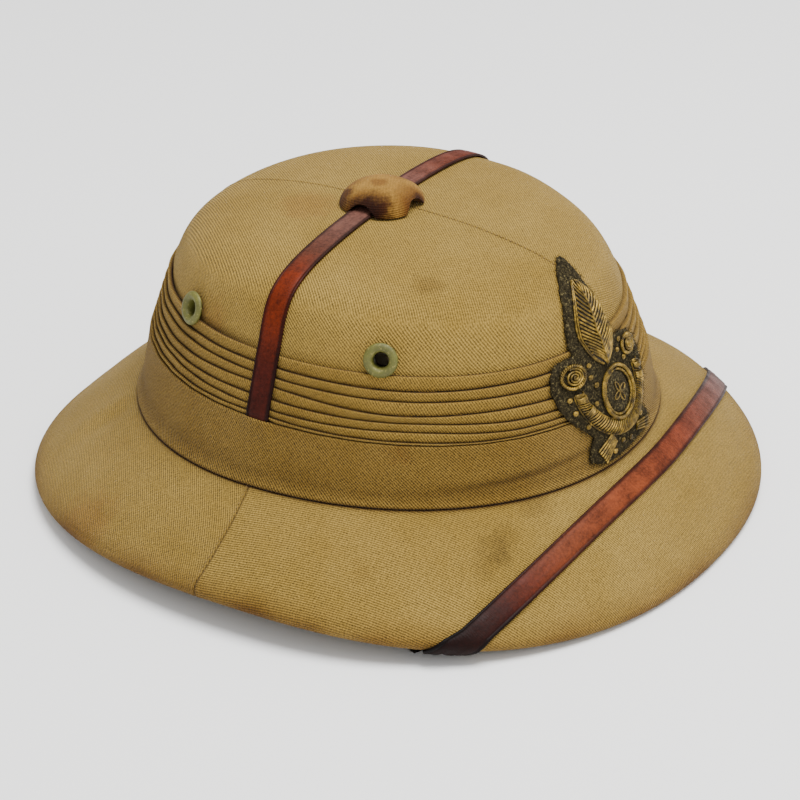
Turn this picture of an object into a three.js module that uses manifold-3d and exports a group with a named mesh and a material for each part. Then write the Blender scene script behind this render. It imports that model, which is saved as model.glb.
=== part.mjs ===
// Pith helmet: a cork crown and brim covered in cotton drill, a pleated cloth band above a plain
// one, a leather strap over the crown, a chin strap worn over the front of the brim, a cloth
// covered vent button, four vent eyelets and an embroidered badge.
// Millimetres, +Z up, the wearer faces -Y and the wearer's left is +X. The helmet stands on the
// floor (z = 0) on the lowest parts of its brim, front and back.

import * as THREE from 'three';
import { mergeVertices } from 'three/addons/utils/BufferGeometryUtils.js';
import Module from 'manifold-3d';

const wasm = await Module();
wasm.setup();

// ---- Driving dimensions ------------------------------------------------------------------

const facetsAround = 64;
const gap = 0.3; // clearance between pieces that touch on the real helmet

// Crown: an oval dome. Each radius tapers towards the top and turns in at the shoulder.
const crownFront = { radius: 126, taper: 0.23, shoulder: 10.4 };
const crownBack = { radius: 108, taper: 0.22, shoulder: 13 };
const crownSide = { radius: 110.5, taper: 0.26, shoulder: 18 };
const crownSquareness = 2.1;
const crownRootZ = 45.3;
const crownTopZ = 134.9;
const crownCentreY = 4.6;
const crownLean = -1.1; // the top's centre sits this far from the root's centre
const crownTilt = 0.012; // rise of a level line towards the back
const crownWall = 5;
const bandSeat = 1.2; // the cork is this much smaller under the cloth bands

// Level lines round the crown: height at the crown's centre, and rise towards the back.
const rootLine = { height: 45.4, slope: 0.003 };
const foldLine = { height: 73.5, slope: 0.035 };
const pleatTopLine = { height: 100.7, slope: 0.031 };

// How far the cloth bands stand proud of the crown's own outline.
const proudAtFold = 2;
const proudAtPleatTop = 0.9;
const pleatDepth = 0.9;

// Brim: from the crown's root down to a rolled edge.
const edgeFront = 144.6;
const edgeBack = 177;
const edgeSide = 150.5;
const edgeSquareness = 2.21;
const edgeCentreY = -16.25;
const rollRadius = 3.5;
const edgeRise = 11.4; // the sides of the brim are this much higher than its front and back
const edgeFlattening = 2.2; // and the quarters this much lower than a plain wave
const brimCrowning = 2.5; // the brim's slope bows up by this much half way out
const brimInnerDrop = 8.5;
const restFlat = 0.35; // what is lower than this has settled flat on the floor

// Straps.
const strapWidth = 11;
const crownStrapThickness = 1.6;
const chinStrapThickness = 1.8;
const strapEdge = 0.4;

// Vent button.
const buttonRadius = 18.8;
const buttonHeight = 9.6;
const buttonOffset = { x: -2.8, y: -1 }; // it was sewn on a little off the crown's centre
const buttonArchWidth = 14.5;
const buttonArchHeight = 4.6;

// Vent eyelets.
const eyeletBore = 3.3;
const eyeletBarrel = 3.9;
const eyeletFlange = 7.3;
const eyeletThickness = 2;
const eyeletHoleRadius = 4.3;

// ---- Materials -----------------------------------------------------------------------------

function material(color, roughness, metalness = 0) {
  return new THREE.MeshStandardMaterial({ color, roughness, metalness });
}
const drill = material('#ad935c', 0.9);
const leather = material('#8b3a22', 0.45);
const stainedCloth = material('#8d6a3c', 0.9);
const agedBrass = material('#7f8048', 0.55, 0.4);
const darkFelt = material('#3b3628', 1);
const bullion = material('#8f7b35', 0.5, 0.5);

// ---- Solids from rings and prisms ----------------------------------------------------------

// A closed solid through rings of points. Its ends are capped, or its last ring joins its first.
function solidThroughRings(rings, joined) {
  const count = rings[0].length;
  const points = rings.flat();
  const faces = [];
  const bands = joined ? rings.length : rings.length - 1;
  for (let band = 0; band < bands; band += 1) {
    const here = band * count;
    const there = ((band + 1) % rings.length) * count;
    for (let i = 0; i < count; i += 1) {
      const next = (i + 1) % count;
      faces.push(here + i, here + next, there + next);
      faces.push(here + i, there + next, there + i);
    }
  }
  if (!joined) {
    capEnd(points, faces, 0, count, false);
    capEnd(points, faces, (rings.length - 1) * count, count, true);
  }
  return outward(points, faces);
}

function capEnd(points, faces, start, count, forwards) {
  const middle = new THREE.Vector3();
  for (let i = 0; i < count; i += 1) {
    middle.add(points[start + i]);
  }
  const hub = points.push(middle.divideScalar(count)) - 1;
  for (let i = 0; i < count; i += 1) {
    const next = (i + 1) % count;
    if (forwards) {
      faces.push(start + i, start + next, hub);
    } else {
      faces.push(start + next, start + i, hub);
    }
  }
}

// Turns every face outwards, which a negative volume shows to be needed.
function outward(points, faces) {
  let volume = 0;
  for (let f = 0; f < faces.length; f += 3) {
    const [a, b, c] = [points[faces[f]], points[faces[f + 1]], points[faces[f + 2]]];
    volume += a.dot(new THREE.Vector3().crossVectors(b, c));
  }
  if (volume < 0) {
    faces.reverse();
  }
  const geometry = new THREE.BufferGeometry().setFromPoints(points);
  geometry.setIndex(faces);
  geometry.computeVertexNormals();
  return geometry;
}

function toManifold(geometry) {
  const bare = geometry.clone();
  bare.deleteAttribute('normal');
  bare.deleteAttribute('uv');
  const merged = mergeVertices(bare, 1e-4);
  return new wasm.Manifold(new wasm.Mesh({
    numProp: 3,
    vertProperties: merged.attributes.position.array,
    triVerts: merged.index.array,
  }));
}

function toGeometry(manifold) {
  const mesh = manifold.getMesh();
  const geometry = new THREE.BufferGeometry();
  geometry.setAttribute('position', new THREE.BufferAttribute(mesh.vertProperties, 3));
  geometry.setIndex(new THREE.BufferAttribute(mesh.triVerts, 1));
  geometry.computeVertexNormals();
  return geometry;
}

function namedMesh(name, geometry, finish) {
  const mesh = new THREE.Mesh(geometry, finish);
  mesh.name = name;
  return mesh;
}

// ---- The crown's outline -------------------------------------------------------------------

// A rounded oval. Angle 0 is the front, and a quarter turn is the wearer's left.
function ovalPoint(angle, front, back, side, squareness) {
  const cos = Math.cos(angle);
  const sin = Math.sin(angle);
  const power = Math.abs(cos) ** squareness + Math.abs(sin) ** squareness;
  const reach = power ** (-1 / squareness);
  const length = cos > 0 ? front : back;
  return new THREE.Vector2(side * sin * reach, -length * cos * reach);
}

function crownRadius({ radius, taper, shoulder }, rise) {
  return radius * (1 - taper * rise) * Math.sqrt(1 - Math.max(rise, 0) ** shoulder);
}

// A point of the crown's outline. Rise goes from 0 at the root to 1 at the top.
function outlinePoint(angle, rise) {
  const [front, back, side] = [crownFront, crownBack, crownSide].map((s) => crownRadius(s, rise));
  const plan = ovalPoint(angle, front, back, side, crownSquareness);
  const y = plan.y + crownCentreY + crownLean * rise;
  const z = crownRootZ + rise * (crownTopZ - crownRootZ) + crownTilt * plan.y;
  return new THREE.Vector3(plan.x, y, z);
}

function outlineNormal(angle, rise) {
  const turn = 0.01;
  const low = Math.max(rise - 0.004, -0.02);
  const high = Math.min(rise + 0.004, 0.9999);
  const across = outlinePoint(angle + turn, rise).sub(outlinePoint(angle - turn, rise));
  const up = outlinePoint(angle, high).sub(outlinePoint(angle, low));
  return across.cross(up).normalize();
}

// The crown's outline moved out, or in where proud is negative.
function crownPoint(angle, rise, proud) {
  const normal = outlineNormal(angle, rise);
  return outlinePoint(angle, rise).addScaledVector(normal, proud);
}

function riseOfLine(angle, line) {
  let rise = 0.3;
  for (let pass = 0; pass < 6; pass += 1) {
    const point = outlinePoint(angle, rise);
    const target = line.height + line.slope * (point.y - crownCentreY);
    rise += (target - point.z) / (crownTopZ - crownRootZ);
  }
  return Math.max(rise, 0);
}

// How far the outermost cloth stands proud of the crown's outline.
function skinProud(angle, rise) {
  const root = riseOfLine(angle, rootLine);
  const fold = riseOfLine(angle, foldLine);
  const top = riseOfLine(angle, pleatTopLine);
  if (rise > top) {
    return proudAtPleatTop * Math.max(0, 1 - (rise - top) / 0.03);
  }
  if (rise > fold) {
    return THREE.MathUtils.mapLinear(rise, fold, top, proudAtFold, proudAtPleatTop);
  }
  return Math.max(0, THREE.MathUtils.mapLinear(rise, root, fold, 0, proudAtFold));
}

function ringOf(pointAt) {
  return Array.from({ length: facetsAround }, (_, i) => pointAt((2 * Math.PI * i) / facetsAround));
}

// ---- Crown ---------------------------------------------------------------------------------

// Turning angles of the shoulder, from the straight wall to the top: finer where it is tighter.
const shoulderTurns = [0.05, 0.2, 0.38, 0.58, 0.78, 0.98, 1.18, 1.38, 1.54];
const shoulderRises = shoulderTurns.map((turn) => Math.sin(turn) ** (2 / 13));

// A point at the crown's foot, moved level inwards.
function footPoint(angle, inset) {
  const rise = riseOfLine(angle, rootLine);
  const normal = outlineNormal(angle, rise).setZ(0).normalize();
  return outlinePoint(angle, rise).addScaledVector(normal, -inset);
}

function crownShell() {
  const inside = shoulderRises.slice().reverse().map((rise) => (
    ringOf((angle) => crownPoint(angle, rise, -crownWall))
  ));
  const insideFoot = -bandSeat - crownWall;
  inside.push(ringOf((angle) => crownPoint(angle, 0.3, insideFoot)));
  inside.push(ringOf((angle) => footPoint(angle, -insideFoot)));
  const outside = [
    ringOf((angle) => footPoint(angle, bandSeat)),
    ringOf((angle) => crownPoint(angle, 0.3, -bandSeat)),
    ringOf((angle) => crownPoint(angle, riseOfLine(angle, pleatTopLine) + 0.005, -bandSeat)),
    ringOf((angle) => crownPoint(angle, riseOfLine(angle, pleatTopLine) + 0.015, 0)),
    ...shoulderRises.slice(1).map((rise) => ringOf((angle) => crownPoint(angle, rise, 0))),
  ];
  return solidThroughRings([...inside, ...outside], false);
}

// ---- Cloth bands ---------------------------------------------------------------------------

// Free top edges of the folds, as parts of the way from the pleats' top line to the fold line.
const foldEdges = [0, 0.21, 0.35, 0.56, 0.66, 0.77, 0.91];

function pleatedBand() {
  const inner = -bandSeat + gap;
  const rings = [];
  const addRing = (part, proudOf) => rings.push(ringOf((angle) => {
    const top = riseOfLine(angle, pleatTopLine);
    const fold = riseOfLine(angle, foldLine) + 0.008;
    const rise = THREE.MathUtils.lerp(top, fold, part);
    return crownPoint(angle, rise, proudOf(skinProud(angle, rise)));
  }));
  foldEdges.forEach((part, i) => {
    const nextEdge = foldEdges[i + 1] ?? 1;
    addRing(part, (proud) => proud - (i === 0 ? 0.1 : 0));
    addRing(nextEdge - 0.01, (proud) => proud - pleatDepth);
  });
  addRing(0.99, () => inner);
  addRing(0.5, () => inner);
  addRing(0.02, () => inner);
  return solidThroughRings(rings, true);
}

function plainBand() {
  const outerParts = [0.12, 0.45, 0.8, 1];
  const ring = (part, inset) => ringOf((angle) => {
    const root = riseOfLine(angle, rootLine);
    const fold = riseOfLine(angle, foldLine);
    const rise = THREE.MathUtils.lerp(root, fold, part);
    return crownPoint(angle, rise, inset ? -bandSeat + gap : skinProud(angle, rise) + 0.3);
  });
  const foot = (inset) => ringOf((angle) => footPoint(angle, inset));
  const outer = [foot(-0.3), ...outerParts.map((part) => ring(part, false))];
  const inner = [ring(1, true), ring(0.5, true), foot(bandSeat - gap)];
  return solidThroughRings([...outer, ...inner], true);
}

// ---- Brim ----------------------------------------------------------------------------------

// The brim's cross-section at one angle: the crown's root, the centre of the rolled edge, the
// way out along the slope, and the slope's normal.
function brimSection(angle) {
  const root = outlinePoint(angle, riseOfLine(angle, rootLine));
  const plan = ovalPoint(angle, edgeFront, edgeBack, edgeSide, edgeSquareness);
  const wave = edgeRise * Math.sin(angle) ** 2 - edgeFlattening * Math.sin(2 * angle) ** 2;
  const roll = new THREE.Vector3(plan.x, plan.y + edgeCentreY, rollRadius + wave);
  const out = roll.clone().sub(root).normalize();
  const level = new THREE.Vector3(out.x, out.y, 0).normalize();
  const normal = new THREE.Vector3(-level.x * out.z, -level.y * out.z, Math.hypot(out.x, out.y));
  return { root, roll, out, level, normal };
}

// A point of the brim's upper face, from 0 at the crown's root to 1 at the rolled edge.
function brimTop(section, part) {
  const { root, roll, normal } = section;
  const lift = THREE.MathUtils.lerp(-0.45, rollRadius, part) + brimCrowning * 4 * part * (1 - part);
  return root.clone().lerp(roll, part).addScaledVector(normal, lift);
}

// The upper face's own normal, which its bow tips away from the slope's.
function brimNormal({ root, roll, out, normal }, part) {
  const steepness = rollRadius + 0.45 + brimCrowning * 4 * (1 - 2 * part);
  const slope = steepness / roll.distanceTo(root);
  return normal.clone().addScaledVector(out, -slope).normalize();
}

function brimRoll({ roll, out, normal }, turn, proud = 0) {
  const reach = rollRadius + proud;
  return roll.clone()
    .addScaledVector(normal, reach * Math.cos(turn))
    .addScaledVector(out, reach * Math.sin(turn));
}

function settled(point) {
  return point.z < restFlat ? point.setZ(0) : point;
}

function brimShell() {
  const sectionRing = (pointOf) => ringOf((angle) => settled(pointOf(brimSection(angle))));
  const footReach = -(crownWall + bandSeat);
  const innerTop = ({ root, level }) => {
    const point = root.clone().addScaledVector(level, footReach);
    return point.setZ(root.z - 0.4);
  };
  const innerBottom = (section) => {
    const point = innerTop(section);
    return point.setZ(point.z - brimInnerDrop);
  };
  const underside = (part) => (section) => {
    const { normal } = section;
    const lift = brimCrowning * 2.4 * part * (1 - part);
    return innerBottom(section).lerp(brimRoll(section, Math.PI), part).addScaledVector(normal, lift);
  };
  const seat = ({ root, level }) => {
    const point = root.clone().addScaledVector(level, 0.4);
    return point.setZ(root.z - 0.4);
  };
  const rings = [sectionRing(innerTop), sectionRing(seat)];
  for (const part of [0.1, 0.25, 0.45, 0.65, 0.85]) {
    rings.push(sectionRing((section) => brimTop(section, part)));
  }
  const rollSteps = 8;
  for (let i = 0; i <= rollSteps; i += 1) {
    rings.push(sectionRing((section) => brimRoll(section, (Math.PI * i) / rollSteps)));
  }
  for (const part of [0.75, 0.5, 0.25]) {
    rings.push(sectionRing(underside(part)));
  }
  rings.push(sectionRing(innerBottom));
  return solidThroughRings(rings, true);
}

// ---- Straps --------------------------------------------------------------------------------

// A flat strap along stations, each with its centre point and the way its outer face looks.
function strapSolid(stations, thickness) {
  const half = strapWidth / 2;
  const deep = thickness / 2;
  const outline = [
    [-half, -deep + strapEdge],
    [-half + strapEdge, -deep],
    [half - strapEdge, -deep],
    [half, -deep + strapEdge],
    [half, deep - strapEdge],
    [half - strapEdge, deep],
    [-half + strapEdge, deep],
    [-half, deep - strapEdge],
  ];
  const rings = stations.map(({ point, normal }, i) => {
    const before = stations[Math.max(i - 1, 0)].point;
    const after = stations[Math.min(i + 1, stations.length - 1)].point;
    const along = after.clone().sub(before).normalize();
    const side = along.clone().cross(normal).normalize();
    const face = side.clone().cross(along).normalize();
    return outline.map(([u, v]) => (
      point.clone().addScaledVector(side, u).addScaledVector(face, v)
    ));
  });
  return solidThroughRings(rings, false);
}

function crownStrap() {
  const lift = gap + crownStrapThickness / 2;
  const rightSide = -Math.PI / 2;
  const lowest = riseOfLine(rightSide, foldLine) + 0.03;
  const rises = [lowest, 0.45, 0.57, 0.63, ...shoulderRises.slice(1)];
  const climb = (angle) => rises.map((rise) => {
    const proud = skinProud(angle, rise) + lift;
    return { point: crownPoint(angle, rise, proud), normal: outlineNormal(angle, rise) };
  });
  const up = climb(rightSide);
  const down = climb(-rightSide).reverse();
  return strapSolid([...up, ...down], crownStrapThickness);
}

// The chin strap lies across the front of the brim, turns under its edge on both sides and runs
// straight to the wearer's ears, where it is sewn inside the crown.
const chinNearest = 0.205; // nearest to the crown, as a part of the way from root to edge
const chinBow = 2.4;
const chinHalfAngle = 54; // where it turns under the edge, in degrees either side of its middle
const chinSkew = 2.5;

function chinPart(degrees) {
  const turned = Math.abs(degrees - chinSkew) / chinHalfAngle;
  return chinNearest + (1 - chinNearest) * turned ** chinBow;
}

function chinEdgeAngle(side) {
  return chinSkew + side * chinHalfAngle;
}

function chinHiddenSide(side) {
  const lift = gap + chinStrapThickness / 2;
  const degrees = THREE.MathUtils.degToRad;
  const stations = [];
  const rollSteps = 7;
  const lastTurn = 2.7;
  const slack = 0.7;
  for (let i = 0; i < rollSteps; i += 1) {
    const turn = (lastTurn * i) / (rollSteps - 1);
    const section = brimSection(degrees(chinEdgeAngle(side) + side * 2.4 * turn));
    const { out, normal } = section;
    const face = normal.clone().multiplyScalar(Math.cos(turn)).addScaledVector(out, Math.sin(turn));
    stations.push({ point: brimRoll(section, turn, lift + slack), normal: face });
  }
  const ear = side * degrees(86);
  const inside = -(bandSeat + crownWall + lift);
  const earLow = crownPoint(ear, 0.03, inside);
  const earHigh = crownPoint(ear, 0.2, inside);
  const inward = outlineNormal(ear, 0.1).negate();
  const start = stations[stations.length - 1];
  const heading = start.point.clone().sub(stations[stations.length - 2].point).normalize();
  const sweep = new THREE.CubicBezierCurve3(
    start.point,
    start.point.clone().addScaledVector(heading, 12),
    earLow.clone().add(new THREE.Vector3(-side * 9, -20, -30)),
    earLow,
  );
  const sweepSteps = 12;
  for (let i = 1; i <= sweepSteps; i += 1) {
    const part = i / sweepSteps;
    const face = start.normal.clone().lerp(inward, part).normalize();
    stations.push({ point: sweep.getPoint(part), normal: face });
  }
  stations.push({ point: earHigh, normal: inward });
  return stations;
}

function chinStrap() {
  const lift = gap + chinStrapThickness / 2;
  const acrossSteps = 26;
  const from = chinEdgeAngle(-1);
  const to = chinEdgeAngle(1);
  const across = [];
  for (let i = 1; i < acrossSteps; i += 1) {
    const angle = THREE.MathUtils.lerp(from, to, i / acrossSteps);
    const section = brimSection(THREE.MathUtils.degToRad(angle));
    const part = chinPart(angle);
    const normal = brimNormal(section, part);
    across.push({ point: brimTop(section, part).addScaledVector(normal, lift), normal });
  }
  const right = chinHiddenSide(-1).reverse();
  const left = chinHiddenSide(1);
  return strapSolid([...right, ...across, ...left], chinStrapThickness);
}

// ---- Vent button ---------------------------------------------------------------------------

function ventButton() {
  const profile = [new THREE.Vector2(0, 0)];
  const steps = 7;
  for (let i = 0; i <= steps; i += 1) {
    const turn = (Math.PI / 2) * (i / steps);
    const reach = Math.max(Math.cos(turn), 0) ** 0.8;
    const rise = Math.sin(turn) ** 1.05;
    profile.push(new THREE.Vector2(buttonRadius * reach, buttonHeight * rise));
  }
  profile[profile.length - 1].x = 0;
  const dome = new THREE.LatheGeometry(profile, 32).rotateX(Math.PI / 2);
  const arch = new THREE.Shape();
  arch.absellipse(0, 0, buttonArchWidth / 2, buttonArchHeight, 0, Math.PI);
  arch.lineTo(-buttonArchWidth / 2, -2);
  arch.lineTo(buttonArchWidth / 2, -2);
  const tunnel = new THREE.ExtrudeGeometry(arch, { depth: 60, bevelEnabled: false, curveSegments: 6 });
  tunnel.translate(0, 0, -30).rotateX(Math.PI / 2);
  const lengthways = toManifold(tunnel);
  const sideways = toManifold(tunnel.clone().rotateZ(Math.PI / 2));
  return toGeometry(toManifold(dome).subtract(lengthways).subtract(sideways));
}

// ---- Vent eyelets --------------------------------------------------------------------------

// Where each eyelet is let into the crown, as an angle from the front and a rise.
const eyelets = [
  { name: 'eyelet_right_front', angle: -63, rise: 0.675 },
  { name: 'eyelet_right_back', angle: -119, rise: 0.665 },
  { name: 'eyelet_left_front', angle: 63, rise: 0.675 },
  { name: 'eyelet_left_back', angle: 119, rise: 0.665 },
];

function eyeletPlace({ angle, rise }) {
  const turn = THREE.MathUtils.degToRad(angle);
  const seat = skinProud(turn, rise - 0.05) + gap;
  const normal = outlineNormal(turn, rise);
  const place = new THREE.Matrix4().lookAt(normal, new THREE.Vector3(), new THREE.Vector3(0, 0, 1));
  return place.setPosition(crownPoint(turn, rise, seat));
}

function eyeletRing() {
  const foot = -crownWall - 2;
  const profile = [
    [eyeletBore, foot],
    [eyeletBarrel, foot],
    [eyeletBarrel, 0],
    [eyeletFlange - 0.5, 0],
    [eyeletFlange, 0.6],
    [eyeletFlange - 1, eyeletThickness * 0.85],
    [(eyeletFlange + eyeletBore) / 2, eyeletThickness],
    [eyeletBore + 0.5, eyeletThickness * 0.7],
    [eyeletBore, 0.4],
    [eyeletBore, foot],
  ].map(([x, y]) => new THREE.Vector2(x, y));
  return new THREE.LatheGeometry(profile, 14).rotateX(Math.PI / 2);
}

function eyeletHole() {
  return new THREE.CylinderGeometry(eyeletHoleRadius, eyeletHoleRadius, 20, 16).rotateX(Math.PI / 2);
}

// ---- Badge ---------------------------------------------------------------------------------

// Each outline is drawn as seen from the front, x to the wearer's left and z up, and stamped
// through a layer of the helmet's curved front.
const feltOutline = [
  { x: 6, z: 123.5 },
  { x: 3, z: 112 },
  { x: 5, z: 94.5 },
  { x: 15, z: 92 },
  { x: 22.5, z: 83 },
  { x: 21, z: 71 },
  { x: 14, z: 60 },
  { x: 18, z: 52 },
  { x: 7, z: 48.5 },
  { x: -22, z: 47.5 },
  { x: -29.5, z: 51 },
  { x: -25.5, z: 60.5 },
  { x: -35, z: 71 },
  { x: -39, z: 84 },
  { x: -34, z: 94 },
  { x: -24.5, z: 95.5 },
  { x: -21.5, z: 107 },
  { x: -8, z: 120.5 },
];
const leafOutline = [
  { x: -3.5, z: 118.5 },
  { x: 1.5, z: 111 },
  { x: 3, z: 103 },
  { x: -1, z: 92 },
  { x: -8, z: 86.8 },
  { x: -14.5, z: 92 },
  { x: -17, z: 102 },
  { x: -12.5, z: 112 },
];
const garlandLine = [
  { x: -28.2, z: 80.8, half: 1.6 },
  { x: -27.2, z: 75.5, half: 2.4 },
  { x: -23, z: 67.2, half: 2.9 },
  { x: -14.3, z: 60, half: 2.8 },
  { x: -4, z: 57.2, half: 2.6 },
  { x: 5, z: 58.8, half: 2.6 },
  { x: 10.4, z: 64.5, half: 2.6 },
  { x: 13, z: 72, half: 2.2 },
  { x: 13.2, z: 79.5, half: 1.5 },
];
const tailLeftOutline = [
  { x: 2.5, z: 53.6 },
  { x: 9, z: 54.4 },
  { x: 14.5, z: 51.6 },
  { x: 12.5, z: 49.4 },
  { x: 4, z: 51 },
];
const tailRightOutline = [
  { x: -17.5, z: 55.8 },
  { x: -13, z: 54.6 },
  { x: -18.5, z: 49 },
  { x: -27, z: 50.5 },
  { x: -24, z: 54.5 },
];

const feltTop = 1.4;
const leafHeight = 2.2; // each embroidered form stands this far above the felt
const ringHeight = 2.4;
const bossHeight = 1.2;
const garlandHeight = 2.2;
const tailHeight = 1.4;
const rosetteHeight = 2.6;

const bossCentre = { x: -5, z: 72.7 };
const bossRadius = 9.2;
const ringInner = 9.7;
const ringOuter = 12.1;
const rosettes = [
  { name: 'badge_rosette_right', x: -28, z: 88.2, radius: 5.2 },
  { name: 'badge_rosette_left', x: 11.5, z: 87, radius: 4.4 },
];

// The outline of a band that follows a middle line, half its width to each side.
function bandOutline(line) {
  const beside = (side) => line.map(({ x, z, half }, i) => {
    const before = line[Math.max(i - 1, 0)];
    const after = line[Math.min(i + 1, line.length - 1)];
    const length = Math.hypot(after.x - before.x, after.z - before.z);
    const offset = (side * half) / length;
    return { x: x - (after.z - before.z) * offset, z: z + (after.x - before.x) * offset };
  });
  return [...beside(1), ...beside(-1).reverse()];
}

function smoothShape(outline) {
  const points = outline.map(({ x, z }) => new THREE.Vector3(x, z, 0));
  const curve = new THREE.CatmullRomCurve3(points, true, 'catmullrom', 0.35);
  const ring = curve.getPoints(outline.length * 2).slice(0, -1);
  return new THREE.Shape(ring.map(({ x, y }) => new THREE.Vector2(x, y)));
}

function roundShape({ x, z }, radius) {
  return new THREE.Shape().absellipse(x, z, radius, radius, 0, Math.PI * 2);
}

const badgeSeat = 0.75;

// A slab of the helmet's front between two distances from the outermost cloth.
function frontLayer(inner, outer) {
  const across = 18;
  const upwards = 16;
  const face = (proud) => {
    const rows = [];
    for (let j = 0; j <= upwards; j += 1) {
      const rise = THREE.MathUtils.lerp(0.01, 0.972, j / upwards);
      const row = [];
      for (let i = 0; i <= across; i += 1) {
        const angle = THREE.MathUtils.lerp(-0.5, 0.36, i / across);
        row.push(crownPoint(angle, rise, skinProud(angle, rise) + badgeSeat + proud));
      }
      rows.push(row);
    }
    return rows;
  };
  const near = face(inner);
  const far = face(outer);
  const rings = near.map((row, j) => [...row, ...far[j].slice().reverse()]);
  const points = rings.flat();
  const count = rings[0].length;
  const faces = [];
  for (let j = 0; j < upwards; j += 1) {
    for (let i = 0; i < count; i += 1) {
      const next = (i + 1) % count;
      faces.push(j * count + i, j * count + next, (j + 1) * count + next);
      faces.push(j * count + i, (j + 1) * count + next, (j + 1) * count + i);
    }
  }
  for (const [j, forwards] of [[0, false], [upwards, true]]) {
    for (let i = 0; i < across; i += 1) {
      const quad = [i, i + 1, count - 2 - i, count - 1 - i].map((k) => j * count + k);
      const [a, b, c, d] = forwards ? quad : quad.slice().reverse();
      faces.push(a, b, c, a, c, d);
    }
  }
  return toManifold(outward(points, faces));
}

function stamp(shape, inner, outer) {
  const prism = new THREE.ExtrudeGeometry(shape, { depth: 90, bevelEnabled: false, curveSegments: 12 });
  prism.rotateX(Math.PI / 2).translate(0, -50, 0);
  return toGeometry(toManifold(prism).intersect(frontLayer(inner, outer)));
}

// ---- Assembly ------------------------------------------------------------------------------

const helmet = new THREE.Group();

let crown = toManifold(crownShell());
for (const eyelet of eyelets) {
  const place = eyeletPlace(eyelet);
  crown = crown.subtract(toManifold(eyeletHole().applyMatrix4(place)));
}
helmet.add(namedMesh('crown', toGeometry(crown), drill));
helmet.add(namedMesh('brim', brimShell(), drill));

let pleats = toManifold(pleatedBand());
for (const eyelet of eyelets) {
  pleats = pleats.subtract(toManifold(eyeletHole().applyMatrix4(eyeletPlace(eyelet))));
}
helmet.add(namedMesh('puggaree_pleats', toGeometry(pleats), drill));
helmet.add(namedMesh('hatband', plainBand(), drill));
helmet.add(namedMesh('crown_strap', crownStrap(), leather));
helmet.add(namedMesh('chin_strap', chinStrap(), leather));

const button = namedMesh('top_button', ventButton(), stainedCloth);
button.position.set(buttonOffset.x, crownCentreY + crownLean + buttonOffset.y, crownTopZ + gap);
helmet.add(button);

for (const eyelet of eyelets) {
  const mesh = namedMesh(eyelet.name, eyeletRing(), agedBrass);
  mesh.applyMatrix4(eyeletPlace(eyelet));
  helmet.add(mesh);
}

const raised = feltTop + gap;

function embroidery(name, shape, height) {
  return namedMesh(name, stamp(shape, raised, raised + height), bullion);
}

const ring = roundShape(bossCentre, ringOuter);
const ringHole = new THREE.Path();
ringHole.absellipse(bossCentre.x, bossCentre.z, ringInner, ringInner, 0, Math.PI * 2);
ring.holes.push(ringHole);
const boss = stamp(roundShape(bossCentre, bossRadius), raised, raised + bossHeight);
helmet.add(namedMesh('badge_felt', stamp(smoothShape(feltOutline), 0, feltTop), darkFelt));
helmet.add(namedMesh('badge_boss', boss, darkFelt));
helmet.add(embroidery('badge_leaf', smoothShape(leafOutline), leafHeight));
helmet.add(embroidery('badge_ring', ring, ringHeight));
helmet.add(embroidery('badge_garland', smoothShape(bandOutline(garlandLine)), garlandHeight));
helmet.add(embroidery('badge_tail_left', smoothShape(tailLeftOutline), tailHeight));
helmet.add(embroidery('badge_tail_right', smoothShape(tailRightOutline), tailHeight));
for (const rosette of rosettes) {
  helmet.add(embroidery(rosette.name, roundShape(rosette, rosette.radius), rosetteHeight));
}

export default helmet;
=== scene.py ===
import math

import bmesh
import bpy
import numpy as np
from mathutils import Matrix, Vector
from mathutils.geometry import delaunay_2d_cdt


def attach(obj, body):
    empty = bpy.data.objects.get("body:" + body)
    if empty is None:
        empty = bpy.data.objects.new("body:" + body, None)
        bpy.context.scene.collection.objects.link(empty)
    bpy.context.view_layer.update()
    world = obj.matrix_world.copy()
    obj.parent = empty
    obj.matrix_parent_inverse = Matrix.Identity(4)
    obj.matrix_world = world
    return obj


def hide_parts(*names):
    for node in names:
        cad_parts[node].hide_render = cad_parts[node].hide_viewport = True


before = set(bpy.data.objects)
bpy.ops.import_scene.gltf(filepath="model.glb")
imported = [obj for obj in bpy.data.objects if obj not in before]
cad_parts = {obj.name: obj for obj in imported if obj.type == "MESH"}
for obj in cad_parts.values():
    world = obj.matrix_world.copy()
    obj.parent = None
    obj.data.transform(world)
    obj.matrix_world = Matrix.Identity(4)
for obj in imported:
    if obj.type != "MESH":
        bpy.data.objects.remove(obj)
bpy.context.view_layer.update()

scene = bpy.context.scene


# ---- Studio --------------------------------------------------------------------------------
# The helmet stands by itself on a pale floor under a big overhead softbox, with a weaker light
# from the wearer's front and a fill beside the camera. The camera looks at its right front.

def add_node(tree, kind, settings=None, links=None):
    """One node, its settings, and what feeds its inputs: a socket or a plain value."""
    node = tree.nodes.new(kind)
    for key, value in (settings or {}).items():
        setattr(node, key, value)
    for name, source in (links or {}).items():
        if isinstance(source, bpy.types.NodeSocket):
            tree.links.new(source, node.inputs[name])
        else:
            node.inputs[name].default_value = source
    return node


def linked(name, data):
    """A new object in the scene, at the world's origin."""
    piece = bpy.data.objects.new(name, data)
    scene.collection.objects.link(piece)
    return piece


def linear(hex_colour):
    """An sRGB hex colour as linear red, green, blue and alpha."""
    parts = [int(hex_colour[i:i + 2], 16) / 255 for i in (1, 3, 5)]
    curve = [c / 12.92 if c <= 0.04045 else ((c + 0.055) / 1.055) ** 2.4 for c in parts]
    return (*curve, 1.0)


def new_material(name):
    """An empty node material, with its shader linked to the output."""
    material = bpy.data.materials.new(name)
    material.use_nodes = True
    tree = material.node_tree
    tree.nodes.clear()
    shader = add_node(tree, "ShaderNodeBsdfPrincipled")
    add_node(tree, "ShaderNodeOutputMaterial", links={"Surface": shader.outputs[0]})
    return material, tree, shader


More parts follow.
